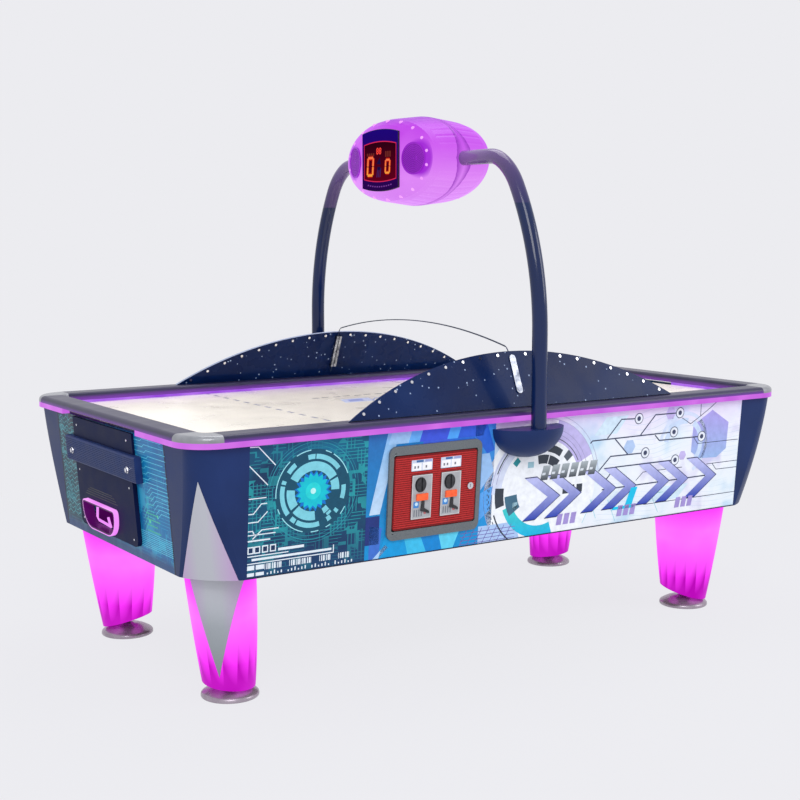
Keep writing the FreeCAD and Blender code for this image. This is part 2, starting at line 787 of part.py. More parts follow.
def arm_chain(name, radius):
    """Bent tube drawn flat: X is outwards, Y is up. Straight, three tangent bends, straight."""
    turn_two = "(long_turn+middle_turn)"
    out_one, up_one = "(arm_spread-long_bend)", "arm_straight_top"
    out_two = "(%s+(long_bend-middle_bend)*cos(long_turn))" % out_one
    up_two = "(%s+(long_bend-middle_bend)*sin(long_turn))" % up_one
    out_three = "(%s+(middle_bend-short_bend)*cos(%s))" % (out_two, turn_two)
    up_three = "(%s+(middle_bend-short_bend)*sin(%s))" % (up_two, turn_two)
    bends = (("long_bend", "0", "long_turn", out_one, up_one),
             ("middle_bend", "long_turn", "middle_turn", out_two, up_two),
             ("short_bend", turn_two, "90-" + turn_two, out_three, up_three))
    pieces = [cylinder(name + "_upright", radius, "arm_straight_top-arm_foot", "arm_spread", "arm_foot",
                       axis=AXIS_X, angle="-90"),
              cylinder(name + "_level", radius, out_three, out_three, up_three + "+short_bend",
                       axis=AXIS_Y, angle="-90")]
    for i, (bend, start, sweep, out, up) in enumerate(bends):
        ring = document.addObject("Part::Torus", "%s_bend_%d" % (name, i))
        bind(ring, Radius1=bend, Radius2=radius, Angle3=sweep)
        turn(ring, AXIS_Z, start)
        pieces.append(place(ring, out, up))
    return fuse(name, *pieces)


def inside_cabinet(name, side):
    """Wedge that fills the cabinet up to the outer face of one long panel."""
    corners = (("0", "cabinet_bottom"), ("%d*%s" % (side, HALF_WIDTH_LOW), "cabinet_bottom"),
               ("%d*%s" % (side, HALF_WIDTH), "cabinet_top"), ("0", "cabinet_top"))
    return prism(name, "YZ_Plane", corners, "2*side_panel_half", "-side_panel_half")


def make_arms():
    brackets = []
    for label, side in (("front", -1), ("rear", 1)):
        tube = cut("arm_" + label, arm_chain("outer_" + label, "arm_radius"),
                   arm_chain("inner_" + label, "arm_radius-arm_wall"))
        stand = Rotation(Vector(0, side, 0), AXIS_Z, Vector(side, 0, 0), "XYZ")
        tube.Placement = Placement(Vector(), stand)
        node(tube, "arm_" + label)

        dome = document.addObject("Part::Ellipsoid", "dome_" + label)
        dome.Angle1 = -90
        dome.Angle2 = 0
        bind(dome, Radius1="bracket_drop", Radius2="bracket_half", Radius3="bracket_out")
        place(dome, y="%d*%s" % (side, HALF_WIDTH), z="bracket_top")
        socket = cylinder("socket_" + label, "arm_radius", "bracket_top-arm_foot+5", "0",
                          "%d*arm_spread" % side, "arm_foot")
        brackets.append(cut("bracket_" + label, dome, inside_cabinet("inside_" + label, side), socket))
    node(group("brackets", brackets), "arm_brackets")


# ---------------------------------------------------------------- scoreboard pod

POD_PROFILE = ((1.0, 1.0, "pod_seam"), (0.995, 0.965, "50"), (0.985, 0.93, "90"), (0.96, 0.895, "112"),
               (0.842, 0.845, "124"), (0.687, 0.785, "136"), (0.481, 0.685, "display_face"))


def pod_loft(name, thinner):
    """Stack of ellipses along +X, the middle of the pod at the origin."""
    rings = []
    for i, (wide, tall, depth) in enumerate(POD_PROFILE):
        ring = document.addObject("Part::Ellipse", "%s_ring_%d" % (name, i))
        bind(ring, MajorRadius="pod_half_width*%g-%s" % (wide, thinner),
             MinorRadius="pod_half_height*%g-%s" % (tall, thinner))
        ring.Placement = Placement(Vector(), Rotation(AXIS_Y, AXIS_Z, AXIS_X, "XYZ"))
        shift = "-1" if i == 0 and thinner != "0" else ("-" + thinner if i > 3 else "+0")
        rings.append(place(ring, depth + shift))
    loft = document.addObject("Part::Loft", name)
    loft.Sections = rings
    loft.Solid = True
    loft.Ruled = True
    return loft


def speaker(name, side, radius, thickness, back):
    """Disc square to the sloping face of the pod, on one side of the display."""
    disc = document.addObject("Part::Cylinder", name)
    bind(disc, Radius=radius, Height=thickness)
    lean = Rotation(AXIS_Z, side * size("speaker_tilt")) * Rotation(AXIS_Y, 90)
    disc.Placement = Placement(Vector(), lean)
    return place(disc, "speaker_depth-%s*cos(speaker_tilt)" % back,
                 "%d*(speaker_place-%s*sin(speaker_tilt))" % (side, back))


def display_plate(name):
    """Plate with bowed top and bottom edges."""
    plate = middle_box(name + "_block", "display_thickness/2", "display_width/2", "display_height",
                       x="display_face+display_thickness/2", z="-display_height/2")
    bow = "((display_width/2)^2+display_crown^2)/(2*display_crown)"
    rounds = [cylinder("%s_bow_%d" % (name, sign + 1), bow, "display_thickness", "display_face", "0",
                       "%d*(display_height/2-%s)" % (sign, bow), axis=AXIS_Y)
              for sign in (-1, 1)]
    return common(name, plate, *rounds)


def on_pod(thing, side):
    """Move a piece drawn about the origin and facing +X to the pod's end on this side."""
    thing.Placement = Placement(Vector(), Rotation(AXIS_Z, 0 if side > 0 else 180))
    return place(thing, z="pod_height")


def make_pod():
    displays = []
    grilles = []
    for label, side in (("left", -1), ("right", 1)):
        holes = [speaker("speaker_hole_%s_%d" % (label, s + 1), s, "speaker_radius+0.5", "30", "15")
                 for s in (-1, 1)]
        notch = cylinder("notch_" + label, "arm_notch", "2*pod_half_width+20", "0", "pod_half_width+10", "0",
                         axis=AXIS_X)
        shell = cut("shell_" + label, pod_loft("skin_" + label, "0"), pod_loft("hollow_" + label, "pod_wall"),
                    notch, *holes)
        node(on_pod(shell, side), "scoreboard_shell_" + label)
        displays.append(on_pod(display_plate("display_" + label), side))
        for s in (-1, 1):
            grille = speaker("grille_%s_%d" % (label, s + 1), s, "speaker_radius", "4", "8")
            pair = cut("grille_plate_%s_%d" % (label, s + 1), grille, *grille_slots(label, s))
            grilles.append(on_pod(pair, side))
    node(group("display_group", displays), "scoreboard_displays")
    node(group("grille_group", grilles), "speaker_grilles")


def grille_slots(label, side):
    """Level slots through a speaker grille."""
    slots = []
    for i in range(-2, 3):
        half = "sqrt((speaker_radius-8)^2-%d^2)" % (16 * i)
        slots.append(middle_box("slot_%s_%d_%d" % (label, side + 1, i + 2), "40", half, "5", "speaker_depth",
                                "%d*speaker_place" % side, "%d-2.5" % (16 * i)))
    return slots


# ---------------------------------------------------------------- guards and shield

GUARD_RADIUS = "((guard_half^2+guard_rise^2)/(2*guard_rise))"


def on_rail(thing, side):
    """Stand a piece drawn in XY, Y up, on the rail, leaning in over the field."""
    lean = size("guard_lean")
    stand = Rotation(AXIS_X, 90 - lean) if side < 0 else Rotation(AXIS_Z, 180) * Rotation(AXIS_X, 90 - lean)
    thing.Placement = Placement(Vector(), stand)
    return place(thing, y="%d*guard_foot" % side, z="rail_top")


def guard_plate(name):
    """Flat arch: the top slice of a wide disc."""
    disc = cylinder(name + "_disc", GUARD_RADIUS, "guard_thickness", "0", "guard_rise-" + GUARD_RADIUS, "0")
    chord = middle_box(name + "_chord", "guard_half", "guard_rise/2", "guard_thickness", y="guard_rise/2")
    return common(name, disc, chord)


def guard_stud(name, hand, index, on_outside):
    """Rivet head on one face of a guard, some steps along the arch from its middle, left or right."""
    reach = GUARD_RADIUS + "-stud_inset"
    angle = "(%d*(stud_first+%d*stud_pitch)/(%s)*180/pi)" % (hand, index, reach)
    foot = "guard_thickness" if on_outside else "-stud_height"
    return cylinder(name, "stud_radius", "stud_height", "(%s)*sin(%s)" % (reach, angle),
                    "guard_rise-%s+(%s)*cos(%s)" % (GUARD_RADIUS, reach, angle), foot)


CLAMP_MIDDLE = "clamp_foot+clamp_length/2"


def clamp_strap(name):
    """Backing strap with round ends on the outer face of a guard."""
    flat = middle_box(name + "_flat", "clamp_width/2", "(clamp_length-clamp_width)/2", "strap_thickness",
                      y=CLAMP_MIDDLE, z="guard_thickness")
    ends = [cylinder("%s_end_%d" % (name, hand + 1), "clamp_width/2", "strap_thickness", "0",
                     "%s+%d*(clamp_length-clamp_width)/2" % (CLAMP_MIDDLE, hand), "guard_thickness")
            for hand in (-1, 1)]
    return fuse(name, flat, *ends)


def make_guards():
    studs = []
    clamps = []
    for label, side in (("front", -1), ("rear", 1)):
        node(on_rail(guard_plate("guard_" + label), side), "guard_" + label)
        for hand in (-1, 1):
            for index in range(9):
                for face in (0, 1):
                    name = "stud_%s_%d_%d_%d" % (label, hand + 1, index, face)
                    studs.append(on_rail(group(name + "_place", [guard_stud(name, hand, index, face)]), side))
        bar = middle_box("clamp_bar_" + label, "clamp_width/2", "clamp_length/2", "clamp_depth",
                         y=CLAMP_MIDDLE, z="-clamp_depth")
        groove = middle_box("clamp_groove_" + label, "shield_thickness/2", "clamp_length", "clamp_depth",
                            y=CLAMP_MIDDLE, z="-clamp_depth-clamp_web")
        clamps.append(on_rail(cut("clamp_" + label, bar, groove), side))
        clamps.append(on_rail(clamp_strap("strap_" + label), side))
    node(group("stud_group", studs), "guard_studs")
    node(group("clamp_group", clamps), "shield_clamps")


def make_shield():
    """Clear sheet between the guards: leaning sides, bowed top and round top corners."""
    lean = math.radians(size("guard_lean"))
    foot, radius, bow = size("shield_foot"), size("shield_corner"), size("shield_bow")
    half = size("shield_thickness") / 2
    up = Vector(0, -math.sin(lean), math.cos(lean))
    inward = Vector(0, -math.cos(lean), -math.sin(lean))
    start = Vector(-half, size("guard_foot-clamp_web-0.5"), size("rail_top"))
    bow_middle = Vector(-half, 0, size("shield_top") - bow)
    reach = start + inward * radius - bow_middle
    along = reach.dot(up)
    rise = -along + math.sqrt(along ** 2 - reach.dot(reach) + (bow - radius) ** 2)
    corner_middle = start + inward * radius + up * rise
    out = (corner_middle - bow_middle).normalize()
    low = start + up * ((foot - start.z) / math.cos(lean))
    side = corner_middle - inward * radius
    bend = corner_middle + (out - inward).normalize() * radius
    top = bow_middle + out * bow

    def other(point):
        return Vector(point.x, -point.y, point.z)

    edges = [Part.LineSegment(other(low), low), Part.LineSegment(low, side), Part.Arc(side, bend, top),
             Part.Arc(top, bow_middle + Vector(0, 0, bow), other(top)),
             Part.Arc(other(top), other(bend), other(side)), Part.LineSegment(other(side), other(low))]
    outline = Part.Wire([edge.toShape() for edge in edges])
    node(shape_feature("shield", Part.Face(outline).extrude(Vector(2 * half, 0, 0))), "centre_shield")


# ---------------------------------------------------------------- coin door

def door_slab(name, half_wide, half_tall, thickness, proud, middle_x="0", middle_z="0"):
    """Block in the door's plane: its front face stands proud of the panel by proud."""
    return box(name, "2*(%s)" % half_wide, thickness, "2*(%s)" % half_tall, "%s-(%s)" % (middle_x, half_wide),
               "-(%s)" % proud, "%s-(%s)" % (middle_z, half_tall))


def door_rod(name, radius, length, proud, x, z):
    """Round bar square to the door."""
    return cylinder(name, radius, length, x, "%s-(%s)" % (length, proud), z, axis=AXIS_X)


PIN_X = "-(door_width/2-pin_inset)"
PIN_Y = "-(door_proud-door_thickness/2)"
PLATES = (("left", "(plate_middle-plate_pitch/2)"), ("right", "(plate_middle+plate_pitch/2)"))


def make_coin_door():
    hole_half_wide, hole_half_tall = "door_width/2+door_gap", "door_height/2+door_gap"
    flange = rounded_plate("frame_flange", "XZ_Plane", "door_frame_width/2", "door_frame_height/2",
                           "door_frame_thickness", "door_frame_corner", "-door_frame_thickness")
    hole = door_slab("frame_hole", hole_half_wide, hole_half_tall, "60", "30")
    pins_hole = cylinder("frame_pin_hole", "pin_radius+pin_play", "door_height+2*pin_length+1", PIN_X, PIN_Y,
                         "-(door_height/2+pin_length+0.5)")
    node(on_front_panel(cut("door_frame", flange, hole, pins_hole)), "coin_door_frame")

    slab = door_slab("door_slab", "door_width/2", "door_height/2", "door_thickness", "door_proud")
    pins = cylinder("door_pins", "pin_radius", "door_height+2*pin_length", PIN_X, PIN_Y,
                    "-(door_height/2+pin_length)")
    lock_x = "(door_width/2-lock_inset)"
    holes = [door_rod("lock_hole", "lock_radius+lock_play", "40", "30", lock_x, "0")]
    button_z = "-plate_drop"
    for label, x in PLATES:
        holes.append(door_slab("button_hole_" + label, "button_width/2+button_play",
                               "button_height/2+button_play", "60", "40", x, button_z))
    node(on_front_panel(fuse_then_cut("door", slab, pins, holes)), "coin_door")

    plates = []
    for label, x in PLATES:
        face = door_slab("plate_face_" + label, "plate_width/2", "plate_height/2", "plate_thickness",
                         "door_proud+plate_thickness", x, "-plate_drop")
        entry = door_slab("plate_entry_" + label, "2", "14", "60", "40", x, "plate_height/2-plate_drop-31")
        mouth = door_slab("plate_mouth_" + label, "22", "17", "2", "door_proud+plate_thickness+1", x,
                          "-plate_drop-42")
        window = door_slab("plate_window_" + label, "button_width/2+button_play",
                           "button_height/2+button_play", "60", "40", x, button_z)
        plates.append(on_front_panel(cut("plate_" + label, face, entry, mouth, window)))
        button = door_slab("button_" + label, "button_width/2", "button_height/2", "button_length",
                           "button_proud", x, button_z)
        node(on_front_panel(fuse("button_body_" + label, button, door_slab(
            "button_stop_" + label, "button_width/2+4", "button_height/2-6", "2",
            "door_proud-door_thickness-1", x, button_z), door_slab(
            "button_neck_" + label, "button_width/2-4", "button_height/2-6", "button_length+2",
            "button_proud-2", x, button_z))), "reject_button_" + label)
    node(group("plates", plates), "coin_plates")

    barrel = door_rod("lock_barrel", "lock_radius", "lock_proud+1", "lock_proud", lock_x, "0")
    keyway = door_slab("lock_keyway", "1.2", "5", "6", "lock_proud+1", lock_x, "0")
    cam = door_slab("lock_cam", "5", "cam_length/2", "2", "-1", lock_x, "cam_length/2-3")
    node(on_front_panel(fuse("lock", cut("lock_turned", barrel, keyway), cam)), "door_lock")

    box_z = "cabinet_bottom+board-2"
    outer = box("cash_outer", "cash_length", "cash_width", "cash_height", "door_centre_x-cash_length/2",
                "-(cash_back+cash_width)", box_z)
    inner = box("cash_inner", "cash_length-2*cash_wall", "cash_width-2*cash_wall", "cash_height",
                "door_centre_x-cash_length/2+cash_wall", "-(cash_back+cash_width)+cash_wall",
                box_z + "+cash_wall")
    node(cut("cash", outer, inner), "cash_box")


def fuse_then_cut(name, slab, pins, holes):
    return cut(name, fuse(name + "_whole", slab, pins), *holes)


# ---------------------------------------------------------------- end units

def on_end_panel(thing, side):
    """Lay a piece drawn at the foot of the left end panel onto that panel, or the one opposite."""
    lean = math.degrees(math.atan2(size("cabinet_taper"), size("cabinet_top-cabinet_bottom")))
    stand = Rotation(AXIS_Y, -lean) if side < 0 else Rotation(AXIS_Z, 180) * Rotation(AXIS_Y, -lean)
    thing.Placement = Placement(Vector(), stand)
    return place(thing, x="%d*%s" % (side, HALF_LENGTH_LOW), y="%d*unit_shift" % -side, z="cabinet_bottom")


def end_slab(name, half, out, foot, top):
    """Block in the end panel's plane, from the panel outwards."""
    return middle_box(name, "(%s)/2" % out, half, "%s-(%s)" % (top, foot), x="-(%s)/2" % out, z=foot)


def return_plate(name, grow, out, back):
    """Plate with the outline of the puck's opening, grown by grow: near-square top, round foot."""
    half, foot, top = "(return_half+%s)" % grow, "return_foot-" + grow, "return_top+" + grow
    corners = [("return_shift-" + half, foot), ("return_shift+" + half, foot),
               ("return_shift+" + half, top), ("return_shift-" + half, top)]
    plate = prism(name + "_plate", "YZ_Plane", corners, "%s-(%s)" % (out, back), "-(%s)" % out)
    middle = size("(return_foot+return_top)/2")
    radii = size("return_corner_foot+" + grow), size("return_corner_top+" + grow)
    return rounded_along_x(name, plate, lambda z: radii[z > middle])


def make_end_units():
    bumpers = []
    plates = []
    covers = []
    bezels = []
    chutes = []
    for label, side in (("left", -1), ("right", 1)):
        plate = end_slab("end_plate_" + label, "end_plate_half", "end_plate_out", "bumper_foot+bumper_rise",
                         "end_plate_top")
        plates.append(on_end_panel(group("end_plate_place_" + label, [plate]), side))
        bumper = rounded_plate("bumper_" + label, "YZ_Plane", "bumper_half", "bumper_rise/2", "bumper_out",
                               "bumper_round", "-bumper_out", middle_b="bumper_foot+bumper_rise/2")
        bumpers.append(on_end_panel(group("bumper_place_" + label, [bumper]), side))

        board = end_slab("cover_block_" + label, "cover_half", "cover_out", "cover_foot", "cover_top")
        middle = size("(cover_foot+cover_top)/2")
        board = rounded_along_x("cover_board_" + label, board,
                                lambda z: size("cover_corner") if z < middle else 0)
        mouth = return_plate("cover_mouth_" + label, "bezel_width", "cover_out+5", "-5")
        covers.append(on_end_panel(cut("cover_" + label, board, mouth), side))
        ring = cut("bezel_" + label,
                   return_plate("bezel_outer_" + label, "bezel_width", "cover_out+bezel_proud",
                                "cover_out-bezel_depth"),
                   return_plate("bezel_inner_" + label, "0", "cover_out+bezel_proud+5", "-5"))
        bezels.append(on_end_panel(ring, side))
        chutes.append(return_chute("chute_" + label, side))
    node(group("bumper_group", bumpers), "end_bumpers")
    node(group("end_plate_group", plates), "end_plates")
    node(group("cover_group", covers), "return_covers")
    node(group("bezel_group", bezels), "return_bezels")
    node(group("chute_group", chutes), "return_chutes")


def return_chute(name, side):
    """Open-fronted channel behind the end panel: the goal slot drops the puck onto its sloping floor."""
    top = "field_top-field_thickness"
    panel_low, panel_high = HALF_LENGTH_LOW + "-board-1", HALF_LENGTH + "-board-3"
    foot = "cabinet_bottom+return_foot-12"
    floor = "cabinet_bottom+return_foot-4"
    back_high, back_low = "(field_half_length-goal_slot-8)", "(%s-110)" % HALF_LENGTH_LOW
    outer = ((panel_low, foot), (panel_high, top), (back_high, top), (back_high, "cabinet_bottom+240"),
             (back_low, "cabinet_bottom+return_foot+30"), (back_low, foot))
    inner = ((HALF_LENGTH, floor), (HALF_LENGTH, top + "+10"), (back_high + "+chute_wall", top + "+10"),
             (back_high + "+chute_wall", "cabinet_bottom+239"),
             (back_low + "+chute_wall", "cabinet_bottom+return_foot+28"),
             (back_low + "+chute_wall", floor + "+16"))
    reach = "(unit_shift+return_shift+return_half+2*chute_wall)"
    start = "-goal_half" if side < 0 else "-" + reach
    channel = prism(name + "_outer", "XZ_Plane", [("%d*(%s)" % (side, a), b) for a, b in outer],
                    "goal_half+" + reach, start)
    hollow = prism(name + "_inner", "XZ_Plane", [("%d*(%s)" % (side, a), b) for a, b in inner],
                   "goal_half-2*chute_wall+" + reach, start + "+chute_wall")
    return cut(name, channel, hollow)


# ---------------------------------------------------------------- build and write

def check_and_write():
    """Stop on any failed object, then write every named sub-part to its own file."""
    document.recompute()
    for thing in document.Objects:
        if "Invalid" in thing.State or "Error" in thing.State:
            raise RuntimeError("%s failed: %s" % (thing.Name, thing.State))
    os.makedirs("parts", exist_ok=True)
    for thing in nodes:
        if thing.Shape.isNull() or not thing.Shape.isValid() or not thing.Shape.Solids:
            raise RuntimeError("%s has no valid solid" % thing.Label)
        thing.Shape.exportStep("parts/%s.step" % thing.Label)
        print("%-32s %3d solid(s) %12.0f mm3" % (thing.Label, len(thing.Shape.Solids), thing.Shape.Volume))


make_cabinet()
make_corner_posts()
make_legs()
make_field()
make_rails()
make_neon()
make_air_supply()
make_arms()
make_pod()
make_guards()
make_shield()
make_coin_door()
make_end_units()
check_and_write()
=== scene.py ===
import math

import bmesh
import bpy
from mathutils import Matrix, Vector


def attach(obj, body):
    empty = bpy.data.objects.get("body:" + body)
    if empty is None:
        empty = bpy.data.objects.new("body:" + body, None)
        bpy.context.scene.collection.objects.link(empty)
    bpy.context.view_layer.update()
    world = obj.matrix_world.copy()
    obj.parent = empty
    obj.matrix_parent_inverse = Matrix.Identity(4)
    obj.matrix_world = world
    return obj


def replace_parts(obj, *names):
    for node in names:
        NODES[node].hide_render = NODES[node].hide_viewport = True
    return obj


# Air hockey table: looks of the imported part. Metres, floor at z = 0, coin door side facing -Y.

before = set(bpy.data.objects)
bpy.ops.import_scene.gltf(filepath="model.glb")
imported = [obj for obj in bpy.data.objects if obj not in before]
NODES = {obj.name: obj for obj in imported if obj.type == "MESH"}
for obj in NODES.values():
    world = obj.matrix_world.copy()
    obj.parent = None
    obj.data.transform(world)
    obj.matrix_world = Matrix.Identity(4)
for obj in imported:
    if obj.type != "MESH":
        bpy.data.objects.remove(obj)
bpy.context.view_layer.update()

LEAN = math.atan2(0.031, 0.398)     # the cabinet's panels lean out by this angle
PANEL_HEIGHT = 0.3992               # up the slope
POD_Z = 1.654                       # middle of the scoreboard pod
LEG_X, LEG_Y = 0.96, 0.402          # middle of each leg
CORNERS = {"front_left": (-1, -1), "front_right": (1, -1), "rear_left": (-1, 1), "rear_right": (1, 1)}
ENDS = ((-1, "left"), (1, "right"))


# ---------------------------------------------------------------- colour and materials

def linear(value):
    """One sRGB channel, 0 to 255, as scene-linear."""
    share = value / 255
    return share / 12.92 if share <= 0.04045 else ((share + 0.055) / 1.055) ** 2.4


def rgb(red, green, blue):
    return (linear(red), linear(green), linear(blue), 1.0)


class Surface:
    """One material: a Principled shader, and short calls that wire nodes into it."""

    def __init__(self, name, **sockets):
        self.material = bpy.data.materials.new(name)
        self.material.use_nodes = True
        self.tree = self.material.node_tree
        self.shader = self.tree.nodes["Principled BSDF"]
        self.set(**sockets)
        self.place = self.node("ShaderNodeTexCoord").outputs["Object"]

    def set(self, **sockets):
        for name, value in sockets.items():
            self.put(self.shader.inputs[name.replace("_", " ")], value)

    def put(self, socket, value):
        if isinstance(value, bpy.types.NodeSocket):
            self.tree.links.new(value, socket)
        else:
            socket.default_value = value

    def node(self, kind, **properties):
        made = self.tree.nodes.new(kind)
        for name, value in properties.items():
            setattr(made, name, value)
        return made

    def math(self, operation, first, second=0.0, third=0.0, clamp=False):
        made = self.node("ShaderNodeMath", operation=operation, use_clamp=clamp)
        for socket, value in zip(made.inputs, (first, second, third)):
            self.put(socket, value)
        return made.outputs[0]

    def axes(self, vector=None):
        made = self.node("ShaderNodeSeparateXYZ")
        self.put(made.inputs[0], vector or self.place)
        return made.outputs

    def stretched(self, x, y, z):
        made = self.node("ShaderNodeMapping")
        self.put(made.inputs["Vector"], self.place)
        made.inputs["Scale"].default_value = (x, y, z)
        return made.outputs[0]

    def noise(self, scale, detail=3.0, vector=None, rough=0.5):
        made = self.node("ShaderNodeTexNoise")
        self.put(made.inputs["Vector"], vector or self.place)
        made.inputs["Scale"].default_value = scale
        made.inputs["Detail"].default_value = detail
        made.inputs["Roughness"].default_value = rough
        return made.outputs[0]

    def cells(self, scale, distance="EUCLIDEAN"):
        made = self.node("ShaderNodeTexVoronoi", distance=distance)
        self.put(made.inputs["Vector"], self.place)
        made.inputs["Scale"].default_value = scale
        return made.outputs

    def length(self, first, second):
        squares = [self.math("POWER", value, 2.0) for value in (first, second)]
        return self.math("SQRT", self.math("ADD", *squares))

    def off_leg(self):
        """How far a point lies outside a leg's middle, along the table and across it."""
        x, y, _ = self.axes()
        return [self.math("SUBTRACT", self.math("ABSOLUTE", value), middle)
                for value, middle in ((x, LEG_X), (y, LEG_Y))]

    def between(self, value, low, high, to_low=0.0, to_high=1.0):
        """Value carried from low..high to to_low..to_high, and held at the ends."""
        made = self.node("ShaderNodeMapRange", clamp=True)
        for socket, number in zip(made.inputs, (value, low, high, to_low, to_high)):
            self.put(socket, number)
        return made.outputs[0]

    def ramp(self, value, stops):
        made = self.node("ShaderNodeValToRGB")
        self.put(made.inputs[0], value)
        elements = made.color_ramp.elements
        while len(elements) < len(stops):
            elements.new(0.5)
        for element, (position, colour) in zip(elements, stops):
            element.position = position
            element.color = colour
        return made.outputs[0]

    def mix(self, share, first, second, blend="MIX"):
        made = self.node("ShaderNodeMix", data_type="RGBA", blend_type=blend)
        self.put(made.inputs["Factor"], share)
        self.put(made.inputs[6], first)
        self.put(made.inputs[7], second)
        return made.outputs[2]

    def ink(self):
        """Colour that a printed shape carries in its corners."""
        return self.node("ShaderNodeAttribute", attribute_name="ink").outputs["Color"]

    def toned(self, colour, grain):
        """Colour made a little darker or lighter by a grain."""
        tone = self.node("ShaderNodeCombineColor")
        for socket in tone.inputs:
            self.put(socket, grain)
        return self.mix(1.0, colour, tone.outputs[0], "MULTIPLY")

    def bump(self, height, distance):
        made = self.node("ShaderNodeBump")
        made.inputs["Strength"].default_value = 1.0
        made.inputs["Distance"].default_value = distance
        self.put(made.inputs["Height"], height)
        self.put(self.shader.inputs["Normal"], made.outputs[0])

    def lines(self, value, period, share):
        """1 on thin lines that come once a period, share of the period wide."""
        turn = self.math("FRACT", self.math("DIVIDE", value, period))
        return self.math("LESS_THAN", turn, share)


def finish(name, colour, second, scale, rough, bump=0.0, stretch=(1, 1, 1), **sockets):
    """Material with two near tones in a grain, a roughness that follows it, and a fine relief."""
    made = Surface(name, **sockets)
    grain = made.noise(scale, vector=made.stretched(*stretch))
    made.set(Base_Color=made.ramp(grain, [(0.3, colour), (0.7, second)]),
             Roughness=made.between(grain, 0.3, 0.7, *rough))
    if bump:
        made.bump(made.noise(scale * 4, vector=made.stretched(*stretch)), bump)
    return made


def paint(material, *names):
    """Give CAD nodes a material in place of their own."""
    for name in names:
        mesh = NODES[name].data
        mesh.materials.clear()
        mesh.materials.append(material)


# ---------------------------------------------------------------- geometry

def piece(name, shape, material, body="root", smooth=False):
    """Turn a bmesh into a named object that rides on a body."""
    mesh = bpy.data.meshes.new(name)
    bmesh.ops.recalc_face_normals(shape, faces=shape.faces)
    for face in shape.faces:
        face.smooth = smooth
    shape.to_mesh(mesh)
    shape.free()
    mesh.materials.append(material)
    thing = bpy.data.objects.new(name, mesh)
    bpy.context.scene.collection.objects.link(thing)
    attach(thing, body)
    return thing


class Panel:
    """A flat frame on the table: across, up its slope, and out from its face."""

    def __init__(self, origin, across, up):
        self.origin, self.across, self.up = Vector(origin), Vector(across), Vector(up)
        self.out = self.across.cross(self.up)

    def at(self, a, b, h=0.0):
        return self.origin + self.across * a + self.up * b + self.out * h


SIN, COS = math.sin(LEAN), math.cos(LEAN)
FRONT = Panel((0, -0.602, 0.407), (1, 0, 0), (0, -SIN, COS))
REAR = Panel((0, 0.602, 0.407), (-1, 0, 0), (0, SIN, COS))
LEFT = Panel((-1.149, 0, 0.407), (0, -1, 0), (-SIN, 0, COS))
RIGHT = Panel((1.149, 0, 0.407), (0, 1, 0), (SIN, 0, COS))


def skin(shape, rings):
    """Faces between each ring of corners and the next."""
    made = []
    for lower, upper in zip(rings, rings[1:]):
        for i in range(len(lower)):
            j = (i + 1) % len(lower)
            made.append(shape.faces.new((lower[i], lower[j], upper[j], upper[i])))
    return made


def slab(shape, panel, outline, low, high, ink=None):
    """Closed plate with an outline in the panel's plane. ink(a, b) colours its corners."""
    foot = [shape.verts.new(panel.at(a, b, low)) for a, b in outline]
    face = [shape.verts.new(panel.at(a, b, high)) for a, b in outline]
    faces = [shape.faces.new(face), shape.faces.new(list(reversed(foot)))] + skin(shape, [foot, face])
    if ink is not None:
        layer = shape.loops.layers.float_color.get("ink") or shape.loops.layers.float_color.new("ink")
        points = {vertex: place for vertex, place in zip(foot + face, list(outline) * 2)}
        for made in faces:
            for loop in made.loops:
                loop[layer] = ink(*points[loop.vert])


def circle_points(a, b, radius, count=24, tall=None):
    tall = tall or radius
    return [(a + radius * math.cos(math.tau * i / count), b + tall * math.sin(math.tau * i / count))
            for i in range(count)]


def arc(a, b, inner, outer, start, stop):
    """Ring segment between two angles in degrees."""
    steps = max(2, int(abs(stop - start) / 6))
    turns = [math.radians(start + (stop - start) * i / steps) for i in range(steps + 1)]
    return ([(a + outer * math.cos(t), b + outer * math.sin(t)) for t in turns]
            + [(a + inner * math.cos(t), b + inner * math.sin(t)) for t in reversed(turns)])


def ribbon(points, width):
    """Outline of a line of even width through the points, with mitred corners."""
    left, right = [], []
    for i, point in enumerate(points):
        here = Vector(point)
        before = (here - Vector(points[i - 1])).normalized() if i else None
        after = (Vector(points[i + 1]) - here).normalized() if i + 1 < len(points) else None
        before, after = before or after, after or before
        side = Vector((-(before.y + after.y), before.x + after.x)).normalized()
        reach = width / 2 / max(0.3, side.dot(Vector((-after.y, after.x))))
        left.append(tuple(here + side * reach))
        right.append(tuple(here - side * reach))
    return left + list(reversed(right))


def bar(a0, b0, a1, b1):
    return [(a0, b0), (a1, b0), (a1, b1), (a0, b1)]


def slanted(a, b, width, height, lean):
    return [(a, b), (a + width, b), (a + width + lean, b + height), (a + lean, b + height)]


def tint(*channels):
    colour = rgb(*channels)
    return lambda a, b: colour


def fade(low, high, foot, top):
    """Ink that goes from low at height foot to high at height top."""
    first, last = rgb(*low), rgb(*high)

    def ink(a, b):
        share = min(1, max(0, (b - foot) / (top - foot)))
        return tuple(p + (q - p) * share for p, q in zip(first, last))
    return ink


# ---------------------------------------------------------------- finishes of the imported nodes

def film(name):
    """Satin printed film, still without its colour."""
    made = Surface(name, Coat_Weight=0.05, Coat_Roughness=0.2, Specular_IOR_Level=0.25)
    made.set(Roughness=made.between(made.noise(20), 0.3, 0.7, 0.34, 0.46))
    made.bump(made.noise(700, 1), 0.00004)
    return made


def printed_finish(name):
    """Printed film in the ink's own colour, with faint banding."""
    made = film(name)
    made.set(Base_Color=made.toned(made.ink(), made.between(made.noise(55, 4), 0.3, 0.7, 0.9, 1.06)))
    return made.material


